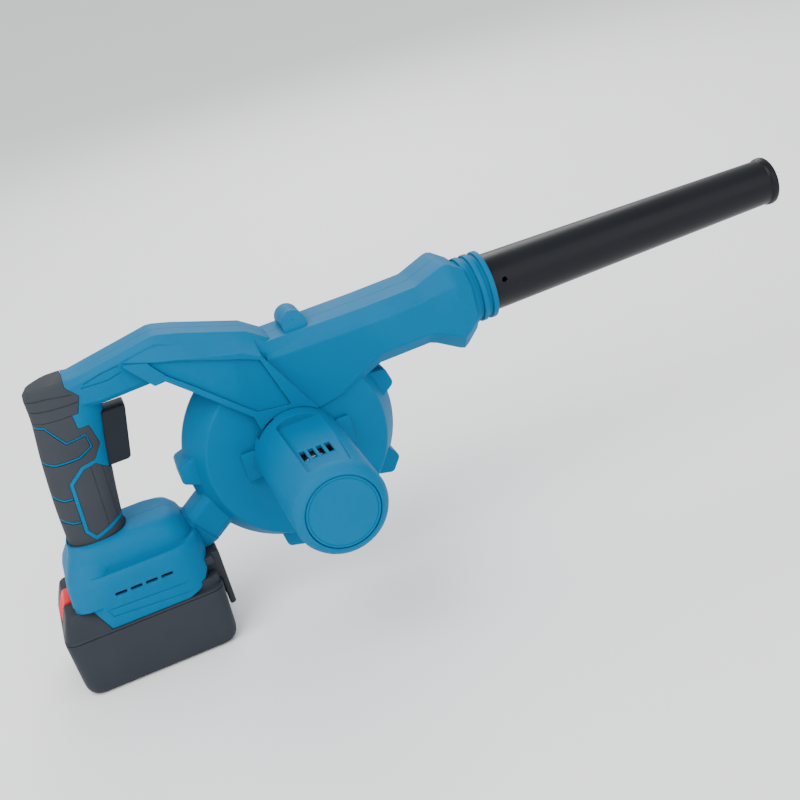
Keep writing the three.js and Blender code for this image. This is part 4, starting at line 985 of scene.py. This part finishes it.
# %% Intake cover
GRILLE_SLOTS = [(7, 14, 5), (16.4, 24, 7), (26.4, 34, 9)]  # inner radius, outer radius, count
BAR_HALF = 1.2
RIM_GRIPS = 36
def sector(inner, outer, count):
    half = math.pi / count
    outline = []
    for radius, way in ((inner, 1), (outer, -1)):
        reach = half - BAR_HALF / radius
        turns = [k / 8 * reach * way for k in range(-8, 9)]
        outline += [(radius * math.cos(turn), radius * math.sin(turn)) for turn in turns]
    return prism("y", rounded(outline, 0.6, 2), 29, 36)


cover_profile = [
    (0, 30.9), (37.1, 30.9), (37.1, 24.9), (40.1, 24.9), (40.1, 32.6), (39.7, 33.5), (38.8, 33.9),
    (0, 33.9)]
cover = turned("y", cover_profile, DRUM, 144)
for inner, outer_edge, count in GRILLE_SLOTS:
    slot_ring = row(sector(inner, outer_edge, count), count, (0, 0, 0), (0, 360 / count, 0))
    cut(cover, shifted(slot_ring, DRUM))
rim_grip = rod("y", 0.8, 24, 32, (40.3, 0, 0), 16)
cut(cover, shifted(row(rim_grip, RIM_GRIPS, (0, 0, 0), (0, 360 / RIM_GRIPS, 0)), DRUM))
keep("intake_grille", cover, "intake", BLUE, ["intake_cover"])

# %% [markdown]
# ## Outlet sleeve and nozzle
# The sleeve is a short tube with three ribs. The nozzle tapers to a bead at its tip.

# %% Sleeve and nozzle
PIN_HOLE = (302.5, 0, 171.7)
sleeve_profile = [
    (20.3, 257.3), (24, 257.3), (24, 260.3), (22, 260.3), (22, 293.6), (21.6, 294), (20.3, 294)]
sleeve = turned("x", sleeve_profile, NOZZLE, 128)
rib_profile = [(21.5, 276.6), (23.8, 276.6), (23.8, 280.4), (21.5, 280.4)]
rib = turned("x", rounded(rib_profile, 0.7, 3), NOZZLE, 128)
join(sleeve, row(rib, 3, (6.8, 0, 0)))
keep("outlet_ribbed_sleeve", sleeve, "housing", BLUE, ["outlet_sleeve"])
nozzle_profile = [
    (18, 261), (19.6, 261), (20, 261.4), (20, 298), (16.1, 513), (16.5, 513.6), (17.1, 514.4),
    (17.3, 515.6), (17.3, 517.4), (17, 518.4), (16.4, 519), (14.7, 519), (14.1, 518.4),
    (14.1, 513), (18, 298)]
nozzle = turned("x", nozzle_profile, NOZZLE, 128)
cut(nozzle, rod("y", 1.8, -30, -5, PIN_HOLE, 32), rod("y", 2.3, -30, -19.15, PIN_HOLE, 32))
keep("nozzle_body", nozzle, "nozzle", LOOKS["nozzle_plastic"], ["nozzle_tube"])

# %% [markdown]
# ## Screws
# One screw, with a cross recess in its head, is copied to the seven places by a second rule.

# %% Screws
def places_rule():
    tree = bpy.data.node_groups.new("copies at places", "GeometryNodeTree")
    tree.interface.new_socket("Places", in_out="INPUT", socket_type="NodeSocketGeometry")
    tree.interface.new_socket("Shape", in_out="INPUT", socket_type="NodeSocketObject")
    tree.interface.new_socket("Material", in_out="INPUT", socket_type="NodeSocketMaterial")
    tree.interface.new_socket("Geometry", in_out="OUTPUT", socket_type="NodeSocketGeometry")
    kinds = ["NodeGroupInput", "GeometryNodeObjectInfo", "GeometryNodeInstanceOnPoints",
             "GeometryNodeRealizeInstances", "GeometryNodeSetMaterial", "NodeGroupOutput"]
    inputs, shape_node, copies, real, paint, outputs = [tree.nodes.new(kind) for kind in kinds]
    for a, b in [
        (inputs.outputs["Places"], copies.inputs["Points"]),
        (inputs.outputs["Shape"], shape_node.inputs["Object"]),
        (shape_node.outputs["Geometry"], copies.inputs["Instance"]), (copies.outputs[0], real.inputs[0]),
        (real.outputs[0], paint.inputs[0]), (inputs.outputs["Material"], paint.inputs["Material"]),
        (paint.outputs[0], outputs.inputs[0]),
    ]:
        tree.links.new(a, b)
    return tree


PLACES = places_rule()
screw_profile = [(0, -9.5), (1.5, -9.5), (1.5, 8.3), (3.2, 8.3), (3.2, 9.6), (2.6, 10.5), (0, 10.7)]
screw = turned("y", screw_profile, (0, 0, 0), 32)
for dx, dz in ((2, 0.4), (0.4, 2)):
    cut(screw, block(-dx, dx, 9.4, 12, -dz, dz))
screws = shape([(x, 0, z) for x, z in SCREWS], [])
rule = screws.modifiers.new("places", "NODES")
rule.node_group = PLACES
sockets = {s.name: s.identifier for s in PLACES.interface.items_tree if s.in_out == "INPUT"}
rule[sockets["Shape"]] = screw
rule[sockets["Material"]] = LOOKS["steel_parts"]
bake(screws)
bpy.data.objects.remove(screw)
keep("housing_screws", screws, "housing", LOOKS["steel_parts"],
     [f"housing_screw_{i + 1}" for i in range(len(SCREWS))])
